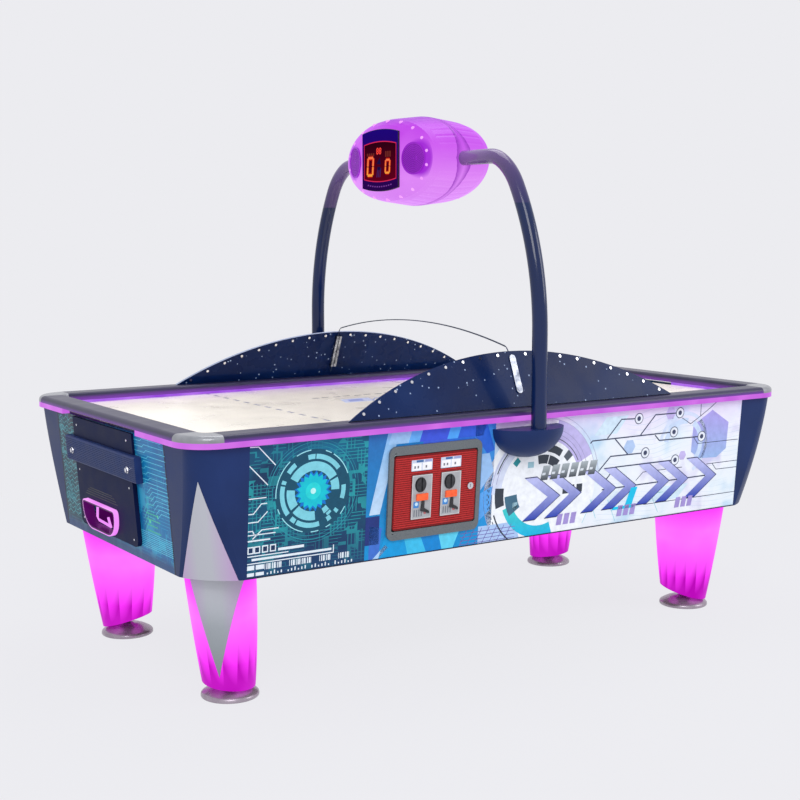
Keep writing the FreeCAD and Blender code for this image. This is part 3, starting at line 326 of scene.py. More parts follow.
def circuit_ground(made, deep, light, line, along, up):
    """Dark print with a fine maze of lighter lines. Along and up are metres on the panel."""
    ground = made.mix(made.between(made.noise(5, 4), 0.35, 0.65), deep, light)
    level = made.lines(up, 0.0105, 0.22)
    upright = made.lines(along, 0.0125, 0.2)
    patch = made.cells(26, "CHEBYCHEV")
    pick = made.axes(patch["Color"])
    lines = made.math("MAXIMUM", made.math("MULTIPLY", level, made.math("GREATER_THAN", pick[0], 0.4)),
                      made.math("MULTIPLY", upright, made.math("GREATER_THAN", pick[1], 0.5)))
    frame_lines = made.math("MULTIPLY", made.math("GREATER_THAN", patch["Distance"], 0.44),
                            made.math("GREATER_THAN", pick[2], 0.55))
    strong = made.math("MULTIPLY", made.math("MAXIMUM", lines, frame_lines),
                       made.between(made.noise(7, 2), 0.35, 0.6, 0.25, 0.8))
    return made.mix(strong, ground, line)


def side_finish(name, hand):
    """Side print: dark circuits towards one end, pale washes towards the other."""
    made = film(name)
    x, _, z = made.axes()
    along = made.math("MULTIPLY", x, hand)
    dark = circuit_ground(made, rgb(8, 50, 86), rgb(8, 104, 138), rgb(34, 158, 166), along, z)
    foot = made.between(z, 0.41, 0.56, 0.75, 0.0)
    dark = made.mix(foot, dark, rgb(20, 50, 100))
    wash = made.ramp(made.noise(4.2, 3, rough=0.6), [(0.36, rgb(188, 216, 238)), (0.47, rgb(226, 236, 244)),
                                                     (0.58, rgb(234, 238, 246)), (0.68, rgb(204, 200, 234))])
    tinted = made.mix(made.between(z, 0.70, 0.81, 0.0, 0.5), wash, rgb(216, 186, 236))
    hair = made.lines(made.math("ADD", z, made.math("MULTIPLY", made.noise(3, 1), 0.12)), 0.017, 0.07)
    hatch = made.math("MULTIPLY", hair, made.between(made.noise(6, 1), 0.45, 0.55, 0.0, 0.45))
    pale = made.mix(hatch, tinted, rgb(150, 186, 214))
    both = made.mix(made.between(along, -0.42, -0.38), dark, pale)
    made.set(Base_Color=made.toned(both, made.between(made.noise(24), 0.3, 0.7, 0.94, 1.0)))
    return made.material


def end_finish(name, hand):
    """End print: bright blue ribs on the coin door side, dark teal on the other."""
    made = film(name)
    _, y, z = made.axes()
    along = made.math("MULTIPLY", y, hand)
    near = circuit_ground(made, rgb(0, 92, 152), rgb(0, 122, 180), rgb(40, 160, 200), along, z)
    far = circuit_ground(made, rgb(12, 40, 62), rgb(14, 62, 80), rgb(50, 130, 144), along, z)
    both = made.mix(made.between(along, -0.1, 0.1), far, near)
    made.set(Base_Color=made.mix(made.between(z, 0.425, 0.45, 0.85, 0.0), both, rgb(34, 66, 116)))
    return made.material


def glow_finish(name, colour, bright, strength=1.0):
    """Lit translucent plastic, also used as painted glow on unlit parts: its light is a little uneven, and
    its skin is satin.
    """
    made = Surface(name, Roughness=0.35, Base_Color=rgb(40, 4, 48), Specular_IOR_Level=0.2,
                   Emission_Strength=strength)
    made.set(Emission_Color=made.ramp(made.noise(9, 2), [(0.3, colour), (0.7, bright)]))
    made.bump(made.noise(300, 1), 0.00005)
    return made.material


def leg_finish():
    """Lit leg cover: brightest at mid height, darker towards the foot in pointed scallops."""
    made = Surface("leg_cover_lit", Roughness=0.4, Base_Color=rgb(30, 0, 30), Specular_IOR_Level=0.05,
                   Emission_Strength=1.0)
    z = made.axes()[2]
    along, across = made.off_leg()
    turn = made.math("ARCTAN2", across, along)
    saw = made.math("FRACT", made.math("MULTIPLY", turn, 2.2))
    point = made.math("POWER", made.math("SUBTRACT", 1.0, saw), 2.2)
    scallop = made.math("MULTIPLY_ADD", point, 0.075, 0.11)
    height = made.math("SUBTRACT", z, scallop)
    shade = made.between(height, -0.055, 0.012)
    high = made.between(z, 0.12, 0.26)
    base = made.mix(shade, rgb(186, 0, 184), rgb(254, 50, 254))
    lit = made.mix(high, base, rgb(255, 118, 255))
    full = made.mix(made.between(z, 0.30, 0.405), lit, rgb(250, 30, 250))
    soft = made.mix(made.between(made.noise(8, 2), 0.35, 0.7, 0.0, 0.3), full, rgb(255, 60, 255))
    made.set(Emission_Color=soft)
    made.bump(made.noise(260, 1), 0.00005)
    return made.material


def pod_finish():
    """Lit pod shell: violet along its top, paler below, with painted shadow beside the seam between the
    shells and painted shade in the hollow beside each speaker.
    """
    made = Surface("pod_cover_lit", Roughness=0.35, Base_Color=rgb(50, 4, 62), Specular_IOR_Level=0.12,
                   Emission_Strength=0.92)
    x, y, z = made.axes()
    rise = made.math("SUBTRACT", z, POD_Z)
    body = made.ramp(made.between(rise, -0.16, 0.16), [(0.0, rgb(214, 130, 244)), (0.3, rgb(226, 140, 250)),
                                                       (0.6, rgb(208, 96, 242)), (0.86, rgb(194, 64, 234)),
                                                       (0.97, rgb(146, 8, 198))])
    # painted shadow beside the seam: a darker band near x = 0, widest at mid height
    depth = made.math("ABSOLUTE", x)
    reach = made.between(made.math("ABSOLUTE", rise), 0.0, 0.11, 0.034, 0.010)
    seam_shadow_ramp = made.math("MULTIPLY", made.math("LESS_THAN", depth, reach), made.math("DIVIDE", depth, reach))
    seam = made.math("MULTIPLY", seam_shadow_ramp, 0.85)
    with_seam_shadow = made.mix(seam, body, rgb(130, 0, 176))
    # painted shade in the hollow round each speaker
    side_far = made.math("SUBTRACT", made.math("ABSOLUTE", y), 0.208)
    wide = made.math("POWER", made.math("DIVIDE", side_far, 0.066), 2.0)
    tall = made.math("POWER", made.math("DIVIDE", rise, 0.064), 2.0)
    inside = made.between(made.math("ADD", wide, tall), 0.6, 1.15, 1.0, 0.0)
    hollow = made.math("MULTIPLY", inside, made.math("GREATER_THAN", depth, 0.116))
    dark = made.mix(hollow, with_seam_shadow, rgb(156, 20, 212))
    cloud = made.mix(made.between(made.noise(7, 2), 0.35, 0.7, 0.0, 0.25), dark, rgb(224, 120, 250))
    made.set(Emission_Color=cloud)
    made.bump(made.noise(260, 1), 0.00005)
    return made.material


def screen_finish():
    """Display window: its print shines through dark glass."""
    made = Surface("display_glass", Roughness=0.15, Base_Color=rgb(2, 1, 4), Specular_IOR_Level=0.0,
                   Emission_Strength=1.0)
    made.set(Emission_Color=made.toned(made.ink(), made.between(made.noise(60), 0.3, 0.7, 0.92, 1.0)))
    made.bump(made.noise(300, 1), 0.00002)
    return made.material


GUARD_FACING = (0.928, 0.371)   # a guard's face looks this much outwards and upwards


def guard_finish():
    """Deep navy printed sheet with a scatter of tiny pale stars, under gloss, and a painted highlight on its
    edges.
    """
    made = Surface("guard_navy", Coat_Weight=0.04, Coat_Roughness=0.08, Specular_IOR_Level=0.12)
    speck = made.math("LESS_THAN", made.cells(42)["Distance"], 0.12)
    some = made.math("GREATER_THAN", made.noise(31, 1), 0.42)
    star = made.math("MULTIPLY", speck, some)
    y = made.axes()[1]
    _, ny, nz = made.axes(made.node("ShaderNodeNewGeometry").outputs["Normal"])
    outward = made.math("MULTIPLY", ny, made.math("SIGN", y))
    facing = made.math("ADD", made.math("MULTIPLY", outward, GUARD_FACING[0]),
                       made.math("MULTIPLY", nz, GUARD_FACING[1]))
    # painted highlight: pale colour on the faces along the guard's edges
    edge_highlight_mask = made.math("LESS_THAN", made.math("ABSOLUTE", facing), 0.5)
    ground = made.ramp(made.noise(3.5, 3), [(0.35, rgb(4, 24, 66)), (0.7, rgb(8, 36, 84))])
    starred = made.mix(made.math("MULTIPLY", star, 0.75), ground, rgb(170, 190, 225))
    made.set(Base_Color=made.mix(edge_highlight_mask, starred, rgb(150, 160, 184)),
             Roughness=made.between(made.noise(14), 0.3, 0.7, 0.22, 0.34))
    made.bump(made.noise(400, 1), 0.00003)
    return made.material


def field_finish():
    """Playfield laminate: warm white, with faint grey wear, rows of air holes and a faint warm painted glow.
    """
    made = Surface("playfield_laminate", Coat_Weight=0.3, Coat_Roughness=0.15)
    pitch = 0.025
    cell = [made.math("SUBTRACT", made.math("FRACT", made.math("DIVIDE", value, pitch)), 0.5)
            for value in list(made.axes())[:2]]
    hole = made.math("LESS_THAN", made.length(*cell), 0.035)
    ground = made.ramp(made.noise(2.5, 4), [(0.3, rgb(246, 240, 226)), (0.7, rgb(232, 226, 212))])
    # the emission is a faint warm painted glow over the whole field
    made.set(Base_Color=made.mix(hole, ground, rgb(70, 66, 62)),
             Roughness=made.between(made.noise(9), 0.3, 0.7, 0.25, 0.4),
             Emission_Color=rgb(255, 246, 226), Emission_Strength=0.10)
    made.bump(made.noise(500, 1), 0.00002)
    return made.material


def metal_finish(name, colour, second, scale, rough, stretch=(1, 1, 1), bump=0.00004):
    return finish(name, colour, second, scale, rough, bump, stretch, Metallic=1.0).material


SHIELD_TOP, SHIELD_BOW, SHIELD_EDGE = 1.093, 2.426, 0.0035     # height, radius of the bow, edge width


def clear_finish():
    """Clear sheet: nearly invisible face, grey cut edges along its bowed top and its ends."""
    made = Surface("clear_acrylic", IOR=1.08, Specular_IOR_Level=0.15)
    _, y, z = made.axes()
    normal = made.axes(made.node("ShaderNodeNewGeometry").outputs["Normal"])
    side = made.math("LESS_THAN", made.math("ABSOLUTE", normal[0]), 0.7)
    fall = made.math("SUBTRACT", z, SHIELD_TOP - SHIELD_BOW)
    arch = made.math("GREATER_THAN", made.length(y, fall), SHIELD_BOW - SHIELD_EDGE)
    edge = made.math("MAXIMUM", side, arch)
    made.set(Base_Color=made.mix(edge, (1, 1, 1, 1), rgb(70, 76, 92)),
             Transmission_Weight=made.math("SUBTRACT", 1.0, made.math("MULTIPLY", edge, 0.85)),
             Roughness=made.between(made.noise(12), 0.3, 0.7, 0.0, 0.01))
    return made.material


def arm_finish():
    """Navy enamel tube that takes up the pod's violet light where it runs into the pod."""
    made = Surface("navy_enamel", Coat_Weight=0.12, Coat_Roughness=0.05, Specular_IOR_Level=0.35)
    grain = made.noise(9, 3, vector=made.stretched(1, 1, 0.2))
    _, y, z = made.axes()
    near = made.math("MULTIPLY", made.between(made.math("ABSOLUTE", y), 0.36, 0.66, 0.8, 0.0),
                     made.math("GREATER_THAN", z, 1.5))
    ground = made.ramp(grain, [(0.3, rgb(4, 22, 62)), (0.7, rgb(8, 32, 78))])
    made.set(Base_Color=made.mix(near, ground, rgb(132, 98, 158)),
             Roughness=made.between(grain, 0.3, 0.7, 0.1, 0.18))
    made.bump(grain, 0.00002)
    return made.material


def rail_finish():
    """Dark rail cover with a violet cast low down, where it faces the light strip."""
    made = Surface("rail_slate", Coat_Weight=0.06, Coat_Roughness=0.15, Specular_IOR_Level=0.3)
    grain = made.noise(12, vector=made.stretched(0.2, 1, 1))
    z = made.axes()[2]
    ground = made.ramp(grain, [(0.3, rgb(40, 38, 66)), (0.7, rgb(52, 48, 78))])
    made.set(Base_Color=made.mix(made.between(z, 0.822, 0.834, 0.8, 0.0), ground, rgb(118, 50, 168)),
             Roughness=made.between(grain, 0.3, 0.7, 0.32, 0.42))
    made.bump(made.noise(140), 0.00003)
    return made.material


def blade_finish():
    """Silver paint with painted light, lighter high up and darker low down, and a painted violet light from
    the legs towards its edges.
    """
    made = Surface("blade_silver", Metallic=0.15, Coat_Weight=0.1, Specular_IOR_Level=0.3)
    z = made.axes()[2]
    grain = made.between(made.noise(60, 2), 0.3, 0.7, -0.006, 0.006)
    # painted light: darker low down, lighter high up
    ground = made.ramp(made.math("ADD", made.between(z, 0.08, 0.41), grain),
                       [(0.0, rgb(128, 136, 140)), (0.5, rgb(156, 162, 168)), (0.85, rgb(190, 192, 200)),
                        (1.0, rgb(182, 184, 192))])
    off = made.math("ABSOLUTE", made.math("SUBTRACT", *made.off_leg()))
    made.set(Base_Color=made.mix(made.between(off, 0.03, 0.12, 0.0, 0.5), ground, rgb(190, 120, 205)),
             Roughness=made.between(made.noise(40), 0.3, 0.7, 0.34, 0.44))
    made.bump(made.noise(500, 1), 0.00002)
    return made.material


INK = printed_finish("printed_film")
NEON = glow_finish("neon_cover", rgb(190, 88, 214), rgb(210, 114, 230))
VIOLET = glow_finish("violet_strip", rgb(140, 64, 215), rgb(184, 120, 240))
BEZEL = glow_finish("bezel_light", rgb(236, 130, 248), rgb(250, 165, 255))
POD = pod_finish()
LAMP = glow_finish("pod_lamp", rgb(238, 150, 250), rgb(248, 175, 255))
SCREEN = screen_finish()
# speaker grilles in a painted violet glow; their holes darker, as painted shade with glow
SPEAKER_GLOW_PAINTED = glow_finish("speaker_dish", rgb(150, 20, 205), rgb(172, 40, 222), 0.8)
SPEAKER_HOLE_PAINTED_SHADE = glow_finish("speaker_slots", rgb(104, 6, 146), rgb(122, 18, 164), 0.9)
# return opening in painted shade with a painted violet glow
MOUTH_SHADE_GLOW = glow_finish("return_mouth_painted_shade_glow", rgb(50, 0, 56), rgb(84, 6, 92), 0.8)
LEG = leg_finish()
NAVY = finish("navy_plastic", rgb(16, 38, 84), rgb(22, 46, 98), 6, (0.36, 0.48), 0.00004,
              Coat_Weight=0.03, Coat_Roughness=0.2, Specular_IOR_Level=0.2).material
NAVY_METAL = arm_finish()
RAIL = rail_finish()
CAP = finish("rail_cap_silver", rgb(128, 130, 136), rgb(146, 148, 154), 25, (0.3, 0.42), 0.00003,
             Metallic=0.35, Coat_Weight=0.3).material
SILVER = blade_finish()
CHROME = metal_finish("polished_steel", rgb(205, 205, 212), rgb(225, 225, 230), 30, (0.06, 0.14))
GREY = finish("grey_frame_paint", rgb(92, 99, 104), rgb(106, 112, 116), 220, (0.4, 0.5), 0.00006,
              Metallic=0.2).material
RED = finish("red_door_paint", rgb(166, 26, 28), rgb(186, 38, 38), 180, (0.32, 0.44), 0.00005,
             Coat_Weight=0.05, Coat_Roughness=0.2, Specular_IOR_Level=0.3).material
CLAMP = metal_finish("clamp_steel", rgb(84, 88, 100), rgb(190, 194, 204), 45, (0.16, 0.3))
# darker red of the sheet between the ribs: painted shade in the grooves
GROOVE_PAINTED_SHADE = finish("red_door_groove_painted_shade", rgb(104, 12, 18), rgb(122, 18, 22), 180, (0.4, 0.5), 0.00004,
                Specular_IOR_Level=0.2).material
PLATE = metal_finish("brushed_steel", rgb(176, 178, 180), rgb(206, 207, 208), 60, (0.3, 0.42), (1, 1, 14))
ORANGE = finish("orange_plastic", rgb(240, 84, 32), rgb(255, 104, 44), 60, (0.3, 0.4), 0.00003).material
BLACK = finish("black_plastic", rgb(14, 14, 17), rgb(28, 28, 33), 60, (0.4, 0.55), 0.00005).material
STEEL = finish("black_steel", rgb(24, 24, 28), rgb(40, 40, 46), 50, (0.35, 0.5), 0.00004,
               Metallic=0.6).material
ZINC = metal_finish("zinc_sheet", rgb(150, 152, 156), rgb(182, 184, 188), 14, (0.3, 0.5))
BOARD = finish("plain_board", rgb(58, 44, 34), rgb(78, 60, 46), 18, (0.55, 0.7), 0.0001, (0.2, 4, 1)).material
COVER = finish("cover_slate", rgb(14, 22, 58), rgb(20, 30, 68), 15, (0.4, 0.52), 0.00004,
               Specular_IOR_Level=0.05).material
RUBBER = finish("bumper_rubber", rgb(28, 46, 96), rgb(36, 56, 106), 18, (0.4, 0.52), 0.00005,
                Specular_IOR_Level=0.2).material
SOOT = finish("soft_black", rgb(20, 20, 24), rgb(44, 44, 50), 90, (0.3, 0.45), 0.00004).material
LIP = finish("lip_grey", rgb(126, 136, 140), rgb(146, 154, 158), 160, (0.3, 0.4), 0.00003,
             Metallic=0.3).material
# steel grey with a violet tint: painted reflection of the lit legs
FOOT_STEEL_PAINTED_VIOLET = finish("foot_steel_painted_violet", rgb(150, 138, 150), rgb(172, 160, 172), 20, (0.22, 0.34), 0.00002,
                    Metallic=0.55).material


def at_corners(stem):
    return [stem + corner for corner in CORNERS]


paint(side_finish("front_ground", 1), "side_panel_front")
paint(side_finish("rear_ground", -1), "side_panel_rear")
paint(end_finish("left_ground", -1), "end_panel_left")
paint(end_finish("right_ground", 1), "end_panel_right")
paint(NAVY, "arm_brackets", *at_corners("corner_post_"))
paint(NAVY_METAL, "arm_front", "arm_rear")
paint(SILVER, "corner_post_blades", "leg_blades")
paint(LEG, *at_corners("leg_shell_"))
paint(NEON, "neon_strips")
paint(VIOLET, "field_light_strips")
paint(BEZEL, "return_bezels")
paint(RAIL, "rail_front", "rail_rear", "rail_left", "rail_right")
paint(CAP, "rail_corner_caps")
paint(field_finish(), "playfield")
paint(guard_finish(), "guard_front", "guard_rear")
paint(clear_finish(), "centre_shield")
paint(CLAMP, "shield_clamps")
paint(CHROME, "guard_studs", "door_lock", *at_corners("foot_pad_"))
paint(GREY, "coin_door_frame")
paint(RED, "coin_door")
paint(PLATE, "coin_plates")
paint(ORANGE, "reject_button_left", "reject_button_right")
paint(BLACK, "impeller", "speaker_grilles", "scoreboard_displays")
paint(MOUTH_SHADE_GLOW, "return_chutes")
paint(STEEL, "leg_posts", *at_corners("foot_stem_"))
paint(ZINC, "blower_housing", "blower_motor", "cash_box")
paint(BOARD, "plenum", "bottom_board")
paint(COVER, "return_covers", "end_plates")
paint(RUBBER, "end_bumpers")
paint(POD, "scoreboard_shell_left", "scoreboard_shell_right")


# ---------------------------------------------------------------- printed graphics

PRINT_FOOT = -0.0004    # how deep a printed shape is set into its panel
PRINT_STEP = 0.00012    # each layer of print stands this much higher than the one below


def clipped(outline, limits):
    """Part of an outline inside a rectangle (a0, b0, a1, b1)."""
    for axis, edge, keep_above in ((0, limits[0], True), (1, limits[1], True), (0, limits[2], False),
                                   (1, limits[3], False)):
        inside = [(point[axis] >= edge) == keep_above or point[axis] == edge for point in outline]
        kept = []
        for i, point in enumerate(outline):
            before = outline[i - 1]
            if inside[i] != inside[i - 1]:
                share = (edge - before[axis]) / (point[axis] - before[axis])
                kept.append(tuple(p + (q - p) * share for p, q in zip(before, point)))
            if inside[i]:
                kept.append(point)
        outline = [point for i, point in enumerate(kept) if math.dist(point, kept[i - 1]) > 1e-6]
        if len(outline) < 3:
            return []
    return outline


class Print:
    """Printed shapes of one panel, as thin closed plates in layers."""

    def __init__(self, panel, base=0.0, limits=None, opening=None):
        self.panel, self.base = panel, base
        self.fields = [limits] if limits else []
        if opening:
            a0, b0, a1, b1 = opening
            low_a, low_b, high_a, high_b = limits
            self.fields = [(low_a, low_b, a0, high_b), (a1, low_b, high_a, high_b), (a0, low_b, a1, b0),
                           (a0, b1, a1, high_b)]
        self.shape = bmesh.new()

    def add(self, layer, ink, *outlines):
        for outline in outlines:
            for part in [clipped(outline, field) for field in self.fields] or [outline]:
                if len(part) > 2:
                    slab(self.shape, self.panel, part, self.base + PRINT_FOOT,
                         self.base + PRINT_STEP * (layer + 1), ink)

    def line(self, layer, ink, width, *routes):
        self.add(layer, ink, *(ribbon(route, width) for route in routes))

    def rings(self, layer, ink, centre, inner, outer, *spans):
        self.add(layer, ink, *(arc(*centre, inner, outer, *span) for span in spans))

    def finish(self, name, body="root", slot="printed_panel", material=None):
        return piece(name, self.shape, material or INK, body)


PALE = tint(120, 200, 215)
WHITE = tint(222, 232, 240)
DARK = tint(58, 66, 96)
COAL = tint(52, 60, 72)
ROYAL = fade((40, 66, 172), (188, 192, 238), 0.06, 0.20)
OUTLINE = tint(34, 40, 92)


def star(a, b, inner, outer, points):
    return [(a + r * math.cos(math.pi * i / points), b + r * math.sin(math.pi * i / points))
            for i in range(2 * points) for r in [outer if i % 2 else inner]]


def target_dial(page, centre):
    """Glowing core in broken rings."""
    a, b = centre
    page.rings(0, tint(10, 74, 100), centre, 0.0, 0.127, (0, 359.9))
    page.add(1, tint(0, 112, 200), star(a, b, 0.050, 0.064, 20))
    page.add(2, tint(0, 186, 202), star(a, b, 0.044, 0.057, 16))
    page.add(3, tint(30, 205, 208), circle_points(a, b, 0.026))
    page.add(4, tint(190, 240, 240), circle_points(a, b, 0.009, 16))
    page.rings(2, PALE, centre, 0.062, 0.0895, (28, 150), (-2, 23), (173, 215), (221, 276))
    page.rings(2, PALE, centre, 0.065, 0.083, (-62, -47))
    page.rings(2, PALE, centre, 0.086, 0.095, (-58, -47))
    page.rings(2, PALE, centre, 0.097, 0.112, (88, 101), (36, 86), (126, 144), (158, 164), (167, 217),
               (226, 236), (239, 283), (-62, -54), (-43, -37), (-18, 5))
    page.rings(2, tint(150, 220, 230), centre, 0.1235, 0.1265, (130, 185), (95, 118), (62, 72), (20, 58),
               (-40, -28), (215, 255), (200, 208), (268, 280), (-68, -60))
    page.rings(0, tint(30, 130, 150), centre, 0.1355, 0.137, (0, 359.9))
    page.rings(0, tint(36, 146, 162), centre, 0.147, 0.149, (10, 170), (185, 350))
    page.rings(0, tint(30, 130, 150), centre, 0.1555, 0.157, (0, 359.9))


def code_strip(page):
    """White line work low on the left: lines, frames and rows of bars."""
    page.line(2, WHITE, 0.003, [(-1, 0.393), (-0.972, 0.392), (-0.9155, 0.334)],
              [(-1, 0.338), (-0.939, 0.277)],
              [(-1, 0.2405), (-0.943, 0.2405)],
              [(-1, 0.195), (-0.984, 0.195), (-0.9586, 0.223), (-0.94, 0.223)],
              [(-1, 0.17), (-0.968, 0.17), (-0.938, 0.1986)], [(-1, 0.144), (-0.985, 0.144), (-0.978, 0.13)],
              [(-1, 0.132), (-0.91, 0.132)], [(-0.985, 0.12), (-0.955, 0.145), (-0.9, 0.145)],
              [(-1, 0.068), (-0.865, 0.068)], [(-1, 0.046), (-0.711, 0.046), (-0.711, 0.07)])
    page.line(2, WHITE, 0.0045, [(-1, 0.1145), (-0.927, 0.1145)])
    page.add(2, WHITE, bar(-0.8995, 0.0755, -0.813, 0.0836), bar(-0.986, 0.054, -0.718, 0.061),
             bar(-1, 0.027, -0.977, 0.0405), bar(-0.972, 0.027, -0.945, 0.0405),
             bar(-1, 0.008, -0.977, 0.018), bar(-0.972, 0.008, -0.945, 0.018))
    for left in (-1.0, -0.979, -0.953, -0.927):
        page.add(2, WHITE, bar(left, 0.0755, left + 0.020, 0.0973))
        page.add(3, tint(12, 44, 84), bar(left + 0.0035, 0.079, left + 0.0165, 0.0938))
    for start, stop in ((-0.943, -0.877), (-0.861, -0.777), (-0.7586, -0.711), (-0.693, -0.645)):
        for i in range(int((stop - start) / 0.006)):
            width = 0.0018 + 0.0016 * (i * 7 % 3)
            page.add(2, WHITE, bar(start + 0.006 * i, 0.024, start + 0.006 * i + width, 0.0415))
    for i in range(26):
        if i % 7 != 5:
            page.add(2, WHITE, bar(-0.935 + 0.0115 * i, 0.008, -0.931 + 0.0115 * i, 0.013 + 0.003 * (i % 3)))


def facets(page):
    """Flat blue shapes that stand behind the coin door."""
    for low, high, colours in (
            (-0.6, -0.5, (36, 104, 172)), (-0.5, -0.4, (20, 120, 190)), (-0.4, -0.3, (60, 96, 215)),
            (-0.3, -0.2, (40, 110, 215)), (-0.2, -0.12, (60, 140, 225))):
        page.add(0, fade((0, 140, 205), colours, 0.05, 0.3), bar(low, 0, high, PANEL_HEIGHT - 0.001))
    page.add(1, fade((196, 218, 240), (120, 176, 225), 0.1, 0.4),
             [(-0.588, 0.145), (-0.55, 0.145), (-0.49, PANEL_HEIGHT - 0.001), (-0.53, PANEL_HEIGHT - 0.001)])
    page.add(1, tint(28, 48, 118), [(-0.6, 0.05), (-0.55, 0.05), (-0.55, 0.14), (-0.6, 0.14)])
    page.add(1, tint(60, 110, 202), [(-0.585, 0.0), (-0.55, 0.0), (-0.54, 0.1), (-0.585, 0.11)])
    page.add(2, tint(165, 200, 235), [(-0.575, 0.0), (-0.555, 0.0), (-0.515, 0.035), (-0.525, 0.045)])
    top = PANEL_HEIGHT - 0.001
    for low, high, colour in ((-0.528, -0.455, (150, 192, 232)), (-0.455, -0.4145, (96, 170, 236)),
                              (-0.4145, -0.31, (56, 84, 212)), (-0.31, -0.269, (72, 160, 238)),
                              (-0.269, -0.169, (44, 92, 212))):
        page.add(2, tint(*colour), [(low, 0.36), (high, 0.36), (high + 0.012, top), (low + 0.012, top)])
    page.add(2, tint(0, 150, 215), [(-0.55, 0.0), (-0.44, 0.0), (-0.46, 0.07), (-0.53, 0.07)])
    page.add(2, tint(56, 186, 230), [(-0.44, 0.0), (-0.37, 0.0), (-0.40, 0.07), (-0.46, 0.07)])
    page.add(2, tint(0, 130, 205), [(-0.37, 0.0), (-0.31, 0.0), (-0.33, 0.07), (-0.40, 0.07)])
    page.add(2, tint(90, 205, 236), [(-0.31, 0.0), (-0.27, 0.0), (-0.24, 0.07), (-0.33, 0.07)])
    page.add(1, tint(168, 196, 236), [(-0.17, 0.0), (0.0, 0.0), (-0.02, 0.06), (-0.17, 0.06)])
    page.add(2, tint(38, 98, 212), [(-0.2, 0.36), (-0.15, 0.30), (-0.12, 0.31), (-0.155, top), (-0.2, top)])
    page.add(2, tint(150, 190, 236), [(-0.17, 0.18), (-0.12, 0.24), (-0.14, 0.30), (-0.17, 0.30)])
    page.add(2, tint(86, 160, 232), [(-0.17, 0.08), (-0.13, 0.11), (-0.12, 0.19), (-0.17, 0.17)])
    page.line(3, tint(110, 100, 170), 0.002, *([(-0.245 + 0.03 * i, 0.0), (-0.215 + 0.03 * i, 0.055)]
                                             for i in range(7)))
    page.line(3, tint(110, 100, 170), 0.002, *([(-0.24, 0.012 * i + 0.008), (-0.02, 0.012 * i + 0.008)]
                                             for i in range(4)))


def scanner_rings(page):
    """Broken rings round the middle of the print, right of the coin door."""
    centre = (0.08, 0.16)
    page.rings(0, tint(236, 240, 246), centre, 0.0, 0.235, (0, 359.9))
    page.rings(1, tint(186, 178, 226), centre, 0.165, 0.235, (25, 75))
    page.rings(1, tint(206, 214, 236), centre, 0.165, 0.21, (100, 180))
    page.rings(2, fade((0, 176, 222), (60, 200, 200), 0.0, 0.1), centre, 0.125, 0.165, (200, 290))
    page.rings(3, tint(62, 104, 128), centre, 0.10, 0.15, (185, 212))
    page.rings(3, COAL, centre, 0.155, 0.19, (174, 195))
    page.rings(3, COAL, centre, 0.200, 0.205, (200, 235))
    page.rings(3, COAL, centre, 0.193, 0.197, (138, 160))
    page.rings(3, COAL, centre, 0.085, 0.115, (50, 74), (76, 100))
    page.rings(3, COAL, centre, 0.125, 0.150, (55, 80))
    page.rings(3, tint(80, 88, 100), centre, 0.135, 0.165, (38, 48))
    page.rings(3, tint(30, 140, 150), centre, 0.135, 0.155, (132, 142), (116, 122))
    page.rings(3, tint(128, 140, 150), centre, 0.17, 0.185, (126, 132))
    page.rings(3, COAL, centre, 0.174, 0.1765, (28, 74))
    page.rings(2, tint(150, 146, 190), centre, 0.188, 0.190, (20, 80), (95, 170))
    page.rings(2, tint(150, 146, 190), centre, 0.204, 0.2055, (15, 80), (95, 190))
    page.rings(2, tint(168, 168, 200), centre, 0.2345, 0.236, (10, 100), (170, 240))
    page.rings(2, tint(168, 168, 200), centre, 0.2495, 0.251, (0, 85))
    page.rings(3, COAL, centre, 0.2135, 0.2165, *((start, start + 2.5) for start in range(165, 206, 5)))
    page.rings(3, COAL, centre, 0.2195, 0.222, *((start, start + 1.5) for start in range(167, 206, 4)))
    page.add(3, COAL, bar(0.175, 0.132, 0.225, 0.16), bar(0.235, 0.132, 0.26, 0.16))
    page.add(3, tint(150, 190, 205), bar(-0.035, 0.10, -0.015, 0.125), bar(0.02, 0.235, 0.045, 0.255))


def circuit_traces(page):
    """Dark traces that end in ringed dots."""
    top = PANEL_HEIGHT - 0.002
    page.line(3, DARK, 0.0042,
              [(0.359, 0.306), (0.418, 0.368), (0.498, 0.3645)],
              [(0.284, 0.295), (0.293, 0.303), (0.6695, 0.304)],
              [(0.511, 0.306), (0.575, 0.372), (0.692, 0.371)],
              [(0.3295, 0.195), (0.3795, 0.242), (0.539, 0.2405)],
              [(0.395, 0.301), (0.457, 0.243)], [(0.5795, 0.2995), (0.602, 0.279), (0.808, 0.277)],
              [(0.336, 0.157), (0.361, 0.157), (0.4045, 0.202), (0.685, 0.2018)],
              [(0.35, 0.128), (0.859, 0.1305)])
    page.line(3, DARK, 0.0022,
              [(0.768, 0.277), (0.791, 0.252), (0.9955, 0.251)], [(0.845, 0.172), (1.0, 0.172)],
              [(0.873, 0.172), (0.895, 0.148), (1.0, 0.147)],
              [(0.5045, 0.145), (0.536, 0.172), (0.7227, 0.172)],
              [(0.55, 0.054), (1.0, 0.054)], [(0.793, top), (0.795, 0.352), (0.748, 0.327), (0.704, 0.352)],
              [(0.795, 0.352), (0.84, 0.378), (0.87, top)])
    for a, b in ((0.498, 0.3645), (0.6695, 0.304), (0.692, 0.371), (0.539, 0.2405), (0.808, 0.277),
                 (0.685, 0.2018), (0.859, 0.1305)):
        page.add(4, DARK, circle_points(a, b, 0.0195))
        page.add(5, tint(226, 232, 242), circle_points(a, b, 0.0168))
        page.add(6, DARK, circle_points(a, b, 0.0085, 16))


